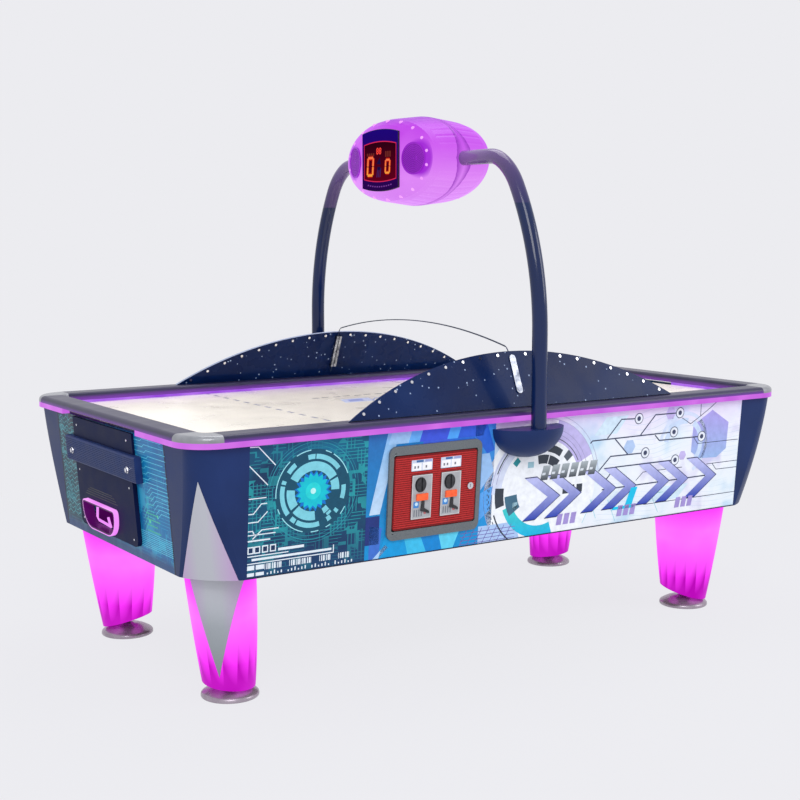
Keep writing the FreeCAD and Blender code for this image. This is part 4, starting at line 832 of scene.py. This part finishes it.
def pastel_shapes(page):
    """Hexagons and spots in soft violet and blue."""
    page.add(1, fade((150, 180, 226), (166, 156, 224), 0.19, 0.33),
             [(0.891, 0.193), (0.937, 0.222), (0.9395, 0.319), (0.853, 0.37), (0.7636, 0.32), (0.761, 0.2245),
              (0.8045, 0.197)])
    page.rings(2, tint(196, 214, 240), (0.72, 0.255), 0.075, 0.095, (-40, 60), (80, 170))
    page.rings(1, tint(206, 218, 242), (0.72, 0.255), 0.105, 0.118, (-60, 170))
    page.add(1, tint(172, 196, 232), star(0.4636, 0.268, 0.027, 0.027, 3))
    page.add(1, tint(190, 178, 228), star(0.648, 0.372, 0.024, 0.024, 3), star(0.72, 0.215, 0.018, 0.018, 3))
    page.add(1, tint(204, 226, 240), slanted(0.30, 0.32, 0.10, 0.06, 0.05),
             slanted(0.55, 0.06, 0.16, 0.05, 0.05))
    page.line(1, tint(150, 206, 222), 0.0022, [(0.27, 0.02), (0.31, 0.10)], [(0.33, 0.03), (0.30, 0.10)],
              [(0.42, 0.01), (0.38, 0.09)], [(0.62, 0.02), (0.58, 0.09), (0.64, 0.09)])


def chevron(a, b, width, height, weight):
    """Arrow head pointing right."""
    middle = b + height / 2
    return [(a, b), (a + weight, b), (a + width, middle), (a + weight, b + height), (a, b + height),
            (a + width - weight, middle)]


def title_chevrons(page):
    """Row of large chevrons in place of a title, with dark blocks above and pale blocks below."""
    big = [chevron(a, 0.058, 0.150, 0.142, 0.050)
           for a in (0.012, 0.105, 0.262, 0.355, 0.512, 0.605, 0.745)]
    for outline in big:
        centre_a = sum(a for a, _ in outline) / len(outline)
        centre_b = sum(b for _, b in outline) / len(outline)
        wide = [(centre_a + (a - centre_a) * 1.05, centre_b + (b - centre_b) * 1.045) for a, b in outline]
        page.add(7, OUTLINE, wide)
        page.add(8, ROYAL, outline)
    page.add(9, tint(0, 190, 230), slanted(0.462, 0.062, 0.030, 0.060, 0.022),
             slanted(0.40, 0.050, 0.10, 0.010, 0.01))
    for i in range(6):
        a = 0.075 + 0.041 * i
        page.add(9, fade((44, 50, 62), (168, 178, 184), 0.185, 0.235), slanted(a, 0.188, 0.03, 0.048, 0.012))
        page.add(10, tint(210, 218, 226), slanted(a + 0.006, 0.205, 0.014, 0.008, 0.002))
    for a in (0.155, 0.425, 0.70):
        for i in range(3):
            page.add(9, tint(158, 142, 206), slanted(a + 0.03 * i, 0.026, 0.021, 0.037, 0.006))


def side_print(panel, name, opening=None):
    page = Print(panel, limits=(-1.0, 0.0004, 1.0, PANEL_HEIGHT - 0.0006), opening=opening)
    target_dial(page, (-0.7873, 0.2436))
    code_strip(page)
    facets(page)
    scanner_rings(page)
    circuit_traces(page)
    pastel_shapes(page)
    title_chevrons(page)
    page.line(11, tint(26, 32, 60), 0.004, [(-1.0, 0.002), (1.0, 0.002)])
    page.finish(name)


DOOR = (-0.3515, 0.2046)        # middle of the coin door on the front panel
BEHIND_FRAME = (0.1685, 0.142)  # half size of the unprinted area that the door frame covers

side_print(FRONT, "front_print", (DOOR[0] - BEHIND_FRAME[0], DOOR[1] - BEHIND_FRAME[1],
                                  DOOR[0] + BEHIND_FRAME[0], DOOR[1] + BEHIND_FRAME[1]))
side_print(REAR, "rear_print")


# ---------------------------------------------------------------- coin door

DOOR_FACE = 0.009
PLATE_FACE = 0.012
PLATE_PLACES = (-0.0535, 0.0565)
PLATE_DROP = 0.017


def rounded(a0, b0, a1, b1, foot_radius, top_radius=None, steps=6):
    """Outline of a rectangle with rounded corners, the lower two on their own radius."""
    top_radius = foot_radius if top_radius is None else top_radius
    corners = ((a1 - foot_radius, b0 + foot_radius, foot_radius, -90),
               (a1 - top_radius, b1 - top_radius, top_radius, 0),
               (a0 + top_radius, b1 - top_radius, top_radius, 90),
               (a0 + foot_radius, b0 + foot_radius, foot_radius, 180))
    points = []
    for a, b, radius, start in corners:
        for i in range(steps + 1):
            turn = math.radians(start + 90 * i / steps)
            points.append((a + radius * math.cos(turn), b + radius * math.sin(turn)))
    return points


def hoop(shape, panel, outer, inner, low, high):
    """Closed ring between two outlines of the same number of points."""
    levels = [[shape.verts.new(panel.at(a, b, h)) for a, b in outline]
              for outline, h in ((outer, low), (outer, high), (inner, high), (inner, low))]
    skin(shape, levels + levels[:1])


def prism_along(shape, panel, section, a0, a1):
    """Closed bar: a section in (b, h) carried from a0 to a1."""
    ends = [[shape.verts.new(panel.at(a, b, h)) for b, h in section] for a in (a0, a1)]
    count = len(section)
    shape.faces.new(ends[0])
    shape.faces.new(list(reversed(ends[1])))
    for i in range(count):
        j = (i + 1) % count
        shape.faces.new((ends[0][j], ends[0][i], ends[1][i], ends[1][j]))


def around(middle, half_a, half_b, radius, *more):
    """Rounded outline round a middle, from its half sizes."""
    a, b = middle
    return rounded(a - half_a, b - half_b, a + half_a, b + half_b, radius, *more)


def make_door():
    """Grooved sheet with ribs on it, the sheet in darker red as painted shade in the grooves, and the fixed
    lip round it.
    """
    a, b = DOOR
    shape = bmesh.new()
    slab(shape, FRONT, around(DOOR, 0.1565, 0.1175, 0.012), 0.0031, DOOR_FACE - 0.0012)
    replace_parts(piece("coin_door_sheet", shape, GROOVE_PAINTED_SHADE, "coin_door"), "coin_door")
    shape = bmesh.new()
    pitch, rib, reach = 0.0068, 0.0044, 0.1525
    for i in range(-16, 17):
        low = b + pitch * i - rib / 2
        slab(shape, FRONT, bar(a - reach, low, a + reach, low + rib), 0.0075, DOOR_FACE)
    piece("coin_door_ribs", shape, RED, "coin_door")

    shape = bmesh.new()
    hoop(shape, FRONT, around(DOOR, 0.1645, 0.1255, 0.017),
         around(DOOR, 0.1618, 0.1228, 0.015), 0.004, 0.0076)
    piece("coin_door_lip", shape, LIP)


def make_plate_details():
    """Label, plate marks, painted shade round each plate, slot entry and return chute of each coin slot."""
    labels_and_plate_shade = Print(FRONT, DOOR_FACE)
    marks = Print(FRONT, PLATE_FACE)
    grips = bmesh.new()
    for offset in PLATE_PLACES:
        a, b = DOOR[0] + offset, DOOR[1] - PLATE_DROP
        low, left = b + 0.083, a - 0.041
        labels_and_plate_shade.add(2, tint(196, 206, 226), rounded(left, low, left + 0.078, low + 0.035, 0.002))
        labels_and_plate_shade.add(3, tint(60, 104, 160), bar(left + 0.018, low + 0.027, left + 0.044, low + 0.034))
        labels_and_plate_shade.add(3, tint(150, 158, 205), bar(left + 0.05, low + 0.027, left + 0.076, low + 0.034))
        labels_and_plate_shade.add(3, tint(240, 240, 244), bar(left + 0.003, low + 0.002, left + 0.037, low + 0.025),
                   bar(left + 0.041, low + 0.002, left + 0.075, low + 0.025))
        labels_and_plate_shade.add(4, tint(120, 120, 130), *(bar(left + start, low + 0.008, left + start + 0.006, low + 0.016)
                                             for start in (0.010, 0.022, 0.052)))
        # dark red band round each plate: painted shade where the plate stands off the door
        labels_and_plate_shade.add(0, tint(110, 24, 28), around((a, b), 0.0395, 0.0722, 0.003))
        marks.add(0, tint(214, 214, 216), around((a, b), 0.0365, 0.069, 0.002))
        marks.add(1, tint(166, 168, 172), around((a, b), 0.035, 0.0675, 0.002))
        marks.add(2, tint(60, 128, 198), bar(a - 0.03, b - 0.034, a - 0.01, b - 0.014))
        marks.add(3, tint(190, 220, 240), circle_points(a - 0.019, b - 0.022, 0.006, 12))
        marks.add(2, tint(112, 116, 126),
                  *(bar(a - 0.028 + 0.009 * i, b - 0.062, a - 0.024 + 0.009 * i, b - 0.04) for i in range(4)))
        marks.add(3, tint(196, 110, 116), circle_points(a + 0.014, b - 0.052, 0.005, 12))
        slab(grips, FRONT, circle_points(a - 0.006, b + 0.039, 0.021, 24, 0.024), PLATE_FACE - 0.001, 0.0135)
        for span in ((100, 260), (-72, 72)):
            sector = arc(0, 0, 0.0, 0.0215, *span)
            lobe = [(a - 0.006 + p * 0.8, b + 0.039 + q) for p, q in sector[:len(sector) // 2]]
            slab(grips, FRONT, lobe, PLATE_FACE, 0.0165)
        boot = ((0.0, -0.013), (0.009, -0.013), (0.009, -0.036), (0.028, -0.047), (0.028, -0.055),
                (-0.004, -0.044), (-0.002, -0.03))
        slab(grips, FRONT, [(a + p, b + q) for p, q in boot], PLATE_FACE - 0.001, 0.0165)
    labels_and_plate_shade.finish("coin_labels", "coin_door")
    marks.finish("coin_plate_marks", "coin_door")
    piece("coin_entries", grips, SOOT, "coin_door")


# ---------------------------------------------------------------- end units

BUMPER_FOOT, BUMPER_TOP, BUMPER_OUT = 0.25, 0.332, 0.024
UNIT_MIDDLE = -0.028                            # middle of the bumper and its plate, across the end
MOUTH_MIDDLE = -0.067                           # middle of the return opening
MOUTH_HALF, MOUTH_FOOT, MOUTH_TOP = 0.1279, 0.0501, 0.1279


def dome(shape, panel, a, b, radius, rise, foot, sides=16):
    """Low round head on a panel."""
    rings = []
    for share in (0.0, 0.35, 0.7, 0.9):
        out = foot + rise * math.sin(share * math.pi / 2)
        rings.append([shape.verts.new(panel.at(p, q, out if share else foot - 0.002))
                      for p, q in circle_points(a, b, radius * math.cos(share * math.pi / 2), sides)])
    top = shape.verts.new(panel.at(a, b, foot + rise))
    shape.faces.new(list(reversed(rings[0])))
    skin(shape, rings)
    for i in range(sides):
        shape.faces.new((rings[-1][i], rings[-1][(i + 1) % sides], top))


def mouth(grow):
    """Outline of the return opening, made larger by grow all round."""
    return rounded(MOUTH_MIDDLE - MOUTH_HALF - grow, MOUTH_FOOT - grow, MOUTH_MIDDLE + MOUTH_HALF + grow,
                   MOUTH_TOP + grow, 0.0619 + grow, 0.0079 + grow, 8)


def make_end_details():
    """Ribbed bumpers, bolt heads, return liners in painted shade and glow, and dark strips as painted shade
    in the cover grooves, of both ends.
    """
    bumpers, bolts, liners = bmesh.new(), bmesh.new(), bmesh.new()
    for panel, name in ((LEFT, "left"), (RIGHT, "right")):
        section = [(BUMPER_FOOT, 0.0005), (BUMPER_TOP, 0.0005), (BUMPER_TOP, BUMPER_OUT - 0.005),
                   (BUMPER_TOP - 0.002, BUMPER_OUT - 0.0015), (BUMPER_TOP - 0.005, BUMPER_OUT)]
        pitch = 0.006
        for i in range(12):
            top = BUMPER_TOP - 0.007 - pitch * i
            section += [(top, BUMPER_OUT), (top - 0.0006, BUMPER_OUT - 0.0016),
                        (top - 0.0018, BUMPER_OUT - 0.0016), (top - 0.0024, BUMPER_OUT)]
        section += [(BUMPER_FOOT + 0.002, BUMPER_OUT - 0.0015), (BUMPER_FOOT, BUMPER_OUT - 0.005)]
        prism_along(bumpers, panel, section, UNIT_MIDDLE - 0.289, UNIT_MIDDLE + 0.289)
        for a in (0.203, -0.259):
            slab(bolts, panel, circle_points(a, 0.287, 0.0105, 20), BUMPER_OUT - 0.003, BUMPER_OUT + 0.0015)
            slab(bolts, panel, circle_points(a, 0.287, 0.0078, 6), BUMPER_OUT, BUMPER_OUT + 0.0065)
        for a in (0.177, -0.24):
            dome(bolts, panel, a, 0.372, 0.0045, 0.003, 0.008)
        for a, b in ((-0.235, 0.225), (0.18, 0.225), (-0.235, 0.062), (0.18, 0.062)):
            dome(bolts, panel, a, b, 0.004, 0.0025, 0.014)
        # liner of the return opening, in its painted shade and glow
        hoop(liners, panel, mouth(0), mouth(-0.0012), -0.004, 0.0284)
        hoop(liners, panel, mouth(0.0035), mouth(0), 0.0282, 0.0294)
        prints = Print(panel, 0.014)
        # dark strips: painted shade in the cover grooves above the return opening
        for b, reach in ((0.150, 0.135), (0.158, 0.125), (0.166, 0.112), (0.173, 0.095)):
            prints.add(0, tint(6, 8, 22), bar(MOUTH_MIDDLE - reach, b, MOUTH_MIDDLE + reach, b + 0.0028))
        prints.finish(name + "_cover_groove_shade")
        loop = bmesh.new()
        slab(loop, panel, ribbon([(-0.105, 0.112), (-0.15, 0.115), (-0.172, 0.100), (-0.183, 0.060),
                                  (-0.070, 0.0545), (-0.085, 0.082)], 0.0065), -0.012, -0.006)
        piece(name + "_return_light", loop, BEZEL)
    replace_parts(piece("end_bumpers_ribbed", bumpers, RUBBER), "end_bumpers")
    piece("end_bolts", bolts, CHROME)
    piece("return_liners", liners, MOUTH_SHADE_GLOW)


def zigzag(a, b, *moves):
    points = [(a, b)]
    for da, db in moves:
        points.append((points[-1][0] + da, points[-1][1] + db))
    return points


def end_print(panel, name):
    """Line work on the two strips of an end panel."""
    page = Print(panel, limits=(-0.44, 0.0004, 0.44, PANEL_HEIGHT - 0.0006))
    line = tint(96, 206, 232)
    top = PANEL_HEIGHT - 0.002
    for i in range(9):
        b = 0.385 - 0.0165 * i
        page.line(1, line, 0.0018,
                  zigzag(0.215, b - 0.004, (0.05 + 0.012 * (i * 5 % 4), 0), (0.012, 0.008), (0.14, 0)))
    for i in range(7):
        b = 0.225 - 0.012 * i
        page.line(1, line, 0.0018, zigzag(0.285 + 0.01 * i, b, (0.03, 0.02), (0.12, 0)))
    for i in range(4):
        page.line(2, tint(70, 196, 200), 0.0022,
                  zigzag(0.245, 0.10 + 0.02 * i, (0.03, 0.03), (0, 0.02), (0.05, 0.0)))
    for i in range(4):
        page.add(2, tint(66, 190, 150),
                 bar(0.26, 0.105 + 0.018 * i, 0.36 - 0.02 * (i % 2), 0.108 + 0.018 * i))
    page.add(2, tint(80, 210, 160), circle_points(0.285, 0.136, 0.006, 12),
             circle_points(0.345, 0.16, 0.005, 12))
    for i in range(9):
        page.line(1, line, 0.0018, [(0.2, 0.05 + 0.006 * i), (0.44, 0.05 + 0.006 * i)])
    teal = tint(96, 178, 186)
    for i in range(22):
        b = 0.05 + 0.0155 * i
        page.line(1, teal, 0.0014, zigzag(-0.425, b, *(((0.022, 0.011), (0.022, -0.011)) * 2),
                                          (0.022, 0.011), (0.03, 0.0)))
        if i % 3 == 0:
            page.line(2, teal, 0.0014, *([(a, b + 0.011), (a, b + 0.0265)] for a in (-0.403, -0.359)))
    page.add(1, tint(14, 22, 48), bar(-0.44, 0.0, -0.434, top), bar(0.434, 0.0, 0.44, top))
    page.finish(name)


# ---------------------------------------------------------------- scoreboard pod

# rings of a pod shell from the seam outwards: share of the width, share of the height, distance from the seam
POD_RINGS = ((1.0, 1.0, 0.0015), (0.999, 0.993, 0.010), (0.9985, 0.99, 0.014), (0.985, 0.932, 0.088),
             (0.983, 0.928, 0.092), (0.96, 0.895, 0.112), (0.842, 0.845, 0.124), (0.687, 0.785, 0.136),
             (0.481, 0.685, 0.147))
POD_HALF = (0.291, 0.1555)      # half width and half height
POD_SIDES = 144


def pod_point(wide, tall, turn, x):
    return Vector((x, POD_HALF[0] * wide * math.cos(turn), POD_Z + POD_HALF[1] * tall * math.sin(turn)))


def make_shell(side, name):
    """Ribbed half of the pod, hollow and open at the seam."""
    shape = bmesh.new()
    skins = []
    for thin, groove in ((0.0, 0.0016), (0.004, 0.0)):
        rings = []
        for level, (wide, tall, x) in enumerate(POD_RINGS):
            wide, tall = wide - thin / POD_HALF[0], tall - thin / POD_HALF[1]
            depth = x - (thin if level > 4 else 0)
            ring = []
            for i in range(POD_SIDES):
                sink = groove if i % 4 == 0 and level in (2, 3) else 0
                point = pod_point(wide, tall, math.tau * i / POD_SIDES, side * depth)
                middle = Vector((point.x, 0, POD_Z))
                ring.append(shape.verts.new(point + (middle - point).normalized() * sink))
            rings.append(ring)
        skins.append(rings)
        skin(shape, rings)
        shape.faces.new(rings[-1])
    outer, inner = skins[0][0], skins[1][0]
    for i in range(POD_SIDES):
        j = (i + 1) % POD_SIDES
        shape.faces.new((outer[j], outer[i], inner[i], inner[j]))
    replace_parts(piece("pod_shell_" + name, shape, POD), "scoreboard_shell_" + name)


def pod_face(side):
    """Flat frame on the face of the pod: across is to the viewer's right."""
    return Panel((side * 0.147, 0, POD_Z), (0, side, 0), (0, 0, 1))


def make_bumps(side, name):
    """Small light domes in a ring round the face."""
    shape = bmesh.new()
    face = pod_face(side)
    for i in range(18):
        turn = math.tau * (i + 0.5) / 18
        a, b = POD_HALF[0] * 0.845 * math.cos(turn), POD_HALF[1] * 0.86 * math.sin(turn)
        dome(shape, face, a, b, 0.0058, 0.0055, -0.0245, 12)
        slab(shape, face, circle_points(a, b, 0.0058, 12), -0.034, -0.0245)
    piece("pod_lamps_" + name, shape, LAMP, smooth=True)


SEGMENTS = {"top": ((0, 1), (1, 1)), "upper_left": ((0, 0.5), (0, 1)), "upper_right": ((1, 0.5), (1, 1)),
            "lower_left": ((0, 0), (0, 0.5)), "lower_right": ((1, 0), (1, 0.5)), "foot": ((0, 0), (1, 0)),
            "middle": ((0, 0.5), (1, 0.5))}


def digit(page, layer, ink, a, b, width, height, weight, without=("middle",)):
    """Seven-segment figure that leans a little to the right."""
    for name, ((u0, v0), (u1, v1)) in SEGMENTS.items():
        if name in without:
            continue
        start = Vector((a + width * u0 + height * v0 * 0.09, b + height * v0))
        stop = Vector((a + width * u1 + height * v1 * 0.09, b + height * v1))
        along = (stop - start).normalized()
        page.line(layer, ink, weight,
                  [tuple(start + along * weight * 0.12), tuple(stop - along * weight * 0.12)])


def make_display(side, name):
    """Barrel-shaped window with two scores and a smaller pair of figures."""
    face = pod_face(side)
    page = Print(face, 0.0062)
    half, high, crown = 0.1135, 0.1055, 0.0115

    def barrel(inset, top, foot, steps=12):
        upper = [(-half + inset + 2 * (half - inset) * i / steps, top) for i in range(steps + 1)]
        return ([(a, b - crown * (a / half) ** 2) for a, b in reversed(upper)]
                + [(a, foot + crown * (a / half) ** 2) for a, _ in upper])

    page.add(0, fade((40, 4, 70), (30, 6, 120), -0.11, 0.1), barrel(0.0, high, -high))
    page.add(1, tint(214, 40, 84), barrel(0.010, 0.066, -0.075))
    page.add(2, fade((92, 0, 26), (44, 0, 18), -0.06, 0.05), barrel(0.0135, 0.0625, -0.0715))
    glow = tint(176, 20, 10)
    hot = fade((255, 168, 60), (255, 120, 76), -0.06, 0.0)
    for score, halo, stroke in (((-0.081, -0.050, 0.034, 0.060), 0.0175, 0.0085),
                                ((0.034, -0.044, 0.026, 0.044), 0.0145, 0.0068)):
        digit(page, 3, glow, *score, halo)
        digit(page, 4, hot, *score, stroke)
    for a in (-0.021, -0.004):
        digit(page, 3, tint(255, 70, 60), a, 0.023, 0.010, 0.018, 0.0048, ())
    page.add(3, tint(22, 14, 66), [(-0.022, -0.012), (0.0, 0.010), (0.006, -0.014)],
             bar(-0.016, -0.034, 0.004, -0.022))
    page.add(3, tint(44, 40, 110),
             *(slanted(a, -0.058, 0.004, 0.03, 0.006) for a in (-0.022, -0.012, -0.002)))
    page.add(3, tint(110, 40, 34),
             *(bar(-0.084 + 0.013 * i, 0.016, -0.075 + 0.013 * i, 0.026) for i in range(4)),
             *(bar(0.034 + 0.013 * i, 0.010, 0.043 + 0.013 * i, 0.030) for i in range(3)))
    page.add(3, tint(120, 60, 150),
             *(slanted(-0.08 + 0.0145 * i, -0.093 + 0.0005 * (i - 5) ** 2 / 2, 0.008, 0.0045, 0.002)
               for i in range(11)))
    page.finish("display_face_" + name, slot="display", material=SCREEN)


def make_speakers():
    """Round grilles in the sloping face, two to each side, with rings of round holes, all in a painted violet
    glow, the holes darker as painted shade.
    """
    shape = bmesh.new()
    slots = bmesh.new()
    for side in (-1, 1):
        for hand in (-1, 1):
            lean = math.radians(12.4)
            across = Vector((-math.sin(lean) * side * hand, math.cos(lean) * side, 0))
            frame_here = Panel(Vector((side * 0.1395, side * hand * 0.186, POD_Z)), across, (0, 0, 1))
            disc = circle_points(0, 0, 0.0515, 40)
            hoop(shape, frame_here, circle_points(0, 0, 0.0545, 40), disc, -0.012, 0.0012)
            slab(shape, frame_here, disc, -0.012, -0.0006)
            for i in range(1, 9):
                radius = 0.0058 * i
                for k in range(6 * i):
                    turn = math.tau * (k + 0.5 * (i % 2)) / (6 * i)
                    hole = circle_points(radius * math.cos(turn), radius * math.sin(turn), 0.0022, 6)
                    slab(slots, frame_here, hole, -0.006, 0.0002)
    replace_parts(piece("speaker_dishes", shape, SPEAKER_GLOW_PAINTED), "speaker_grilles")
    piece("speaker_slots", slots, SPEAKER_HOLE_PAINTED_SHADE)


# ---------------------------------------------------------------- feet, brackets and field marks

def lathe(shape, x, y, profile, sides=64):
    """Solid turned round an upright axis from (radius, z) points."""
    rings = [[shape.verts.new((a, b, z)) for a, b in circle_points(x, y, radius, sides)]
             for radius, z in profile]
    skin(shape, rings)
    shape.faces.new(list(reversed(rings[0])))
    shape.faces.new(rings[-1])


def make_feet():
    """Domed dishes of the four screw feet."""
    profile = [(0.0875, 0.0), (0.0892, 0.002), (0.0895, 0.006), (0.0885, 0.0105), (0.0855, 0.0138),
               (0.081, 0.0165), (0.074, 0.0205), (0.064, 0.0255), (0.053, 0.0295), (0.04, 0.0325),
               (0.024, 0.034), (0.018, 0.0375), (0.0095, 0.0379)]
    for name, (sx, sy) in CORNERS.items():
        shape = bmesh.new()
        lathe(shape, sx * LEG_X, sy * LEG_Y, profile)
        pad = piece("foot_dish_" + name, shape, FOOT_STEEL_PAINTED_VIOLET, "foot_pad_" + name, smooth=True)
        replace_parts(pad, "foot_pad_" + name)


def make_field_marks():
    """Dashed lines across the playfield, and a few faint printed patches."""
    flat = Panel((0, 0, 0.806), (1, 0, 0), (0, 1, 0))
    page = Print(flat)
    for x in (-0.55, 0.55):
        page.add(0, tint(150, 150, 165),
                 *(bar(x - 0.006, -0.56 + 0.08 * i, x + 0.006, -0.52 + 0.08 * i) for i in range(15)))
    page.rings(0, tint(176, 184, 214), (0, 0), 0.150, 0.158, (2, 178), (182, 358))
    for i in range(13):
        a, b = -0.30 + 0.045 * i, 0.225 + 0.008 * (i % 2)
        page.add(0, tint(60, 60, 72), bar(a, b, a + 0.03, b + 0.01))
    page.add(0, tint(196, 204, 232), slanted(-0.26, 0.06, 0.12, 0.09, 0.03),
             slanted(-0.08, 0.04, 0.10, 0.09, 0.03))
    page.add(1, tint(150, 160, 214), slanted(-0.23, 0.08, 0.06, 0.05, 0.02),
             slanted(-0.05, 0.06, 0.05, 0.05, 0.02))
    page.finish("field_marks")


def make_bracket_bolts():
    """Dark plug in the face of each arm bracket."""
    shape = bmesh.new()
    for side in (-1, 1):
        face = Panel((0.011 * side, side * 0.7015, 0.733), (-side, 0, 0), (0, 0, 1))
        slab(shape, face, circle_points(0, 0, 0.0085, 18), -0.012, 0.001)
    piece("bracket_plugs", shape, SOOT)


make_door()
make_plate_details()
make_end_details()
end_print(LEFT, "left_print")
end_print(RIGHT, "right_print")
for half, label in ENDS:
    make_shell(half, label)
    make_bumps(half, label)
    make_display(half, label)
make_speakers()
make_feet()
make_field_marks()
make_bracket_bolts()


# ---------------------------------------------------------------- stage: floor, light, camera

BACKDROP = rgb(236, 236, 240)


def make_stage():
    """Even pale backdrop, and a floor that takes a soft shadow near the table."""
    world = bpy.data.worlds.new("studio")
    bpy.context.scene.world = world
    world.use_nodes = True
    background = world.node_tree.nodes["Background"]
    background.inputs["Color"].default_value = BACKDROP
    background.inputs["Strength"].default_value = 1.0

    shape = bmesh.new()
    bmesh.ops.create_circle(shape, cap_ends=True, segments=96, radius=40)
    mesh = bpy.data.meshes.new("floor")
    shape.to_mesh(mesh)
    shape.free()
    floor = bpy.data.objects.new("floor", mesh)
    bpy.context.scene.collection.objects.link(floor)
    made = Surface("floor_paint", Roughness=0.9, Specular_IOR_Level=0.0, Emission_Color=BACKDROP)
    away = made.length(*list(made.axes())[:2])
    near, far = 1.6, 3.2
    made.set(Base_Color=made.mix(made.between(away, near, far), rgb(60, 60, 62), (0, 0, 0, 1)),
             Emission_Strength=made.between(away, near, far, 0.94, 1.0))
    mesh.materials.append(made.material)


def area_light(name, place, target, size, power, colour=(1, 1, 1)):
    lamp = bpy.data.lights.new(name, "AREA")
    lamp.size = size
    lamp.energy = power
    lamp.color = colour
    thing = bpy.data.objects.new(name, lamp)
    thing.location = place
    thing.rotation_euler = (Vector(target) - Vector(place)).to_track_quat("-Z", "Y").to_euler()
    bpy.context.scene.collection.objects.link(thing)


def make_camera():
    camera = bpy.data.cameras.new("camera")
    camera.lens = 62.89
    camera.sensor_width = 36
    camera.clip_end = 200
    thing = bpy.data.objects.new("camera", camera)
    thing.location = (-2.8135, -4.1443, 1.4107)
    thing.rotation_euler = Vector((0.5480766, 0.8277489, -0.1201824)).to_track_quat("-Z", "Y").to_euler()
    bpy.context.scene.collection.objects.link(thing)
    bpy.context.scene.camera = thing


make_stage()
area_light("key", (-2.6, -4.2, 4.2), (0, 0, 0.7), 2.4, 110)
area_light("fill", (3.6, -3.2, 2.6), (0, 0, 0.7), 2.0, 45)
area_light("top", (0.5, 0.8, 4.5), (0, 0, 0.8), 2.5, 55)
make_camera()
bpy.context.scene.view_settings.view_transform = "Standard"
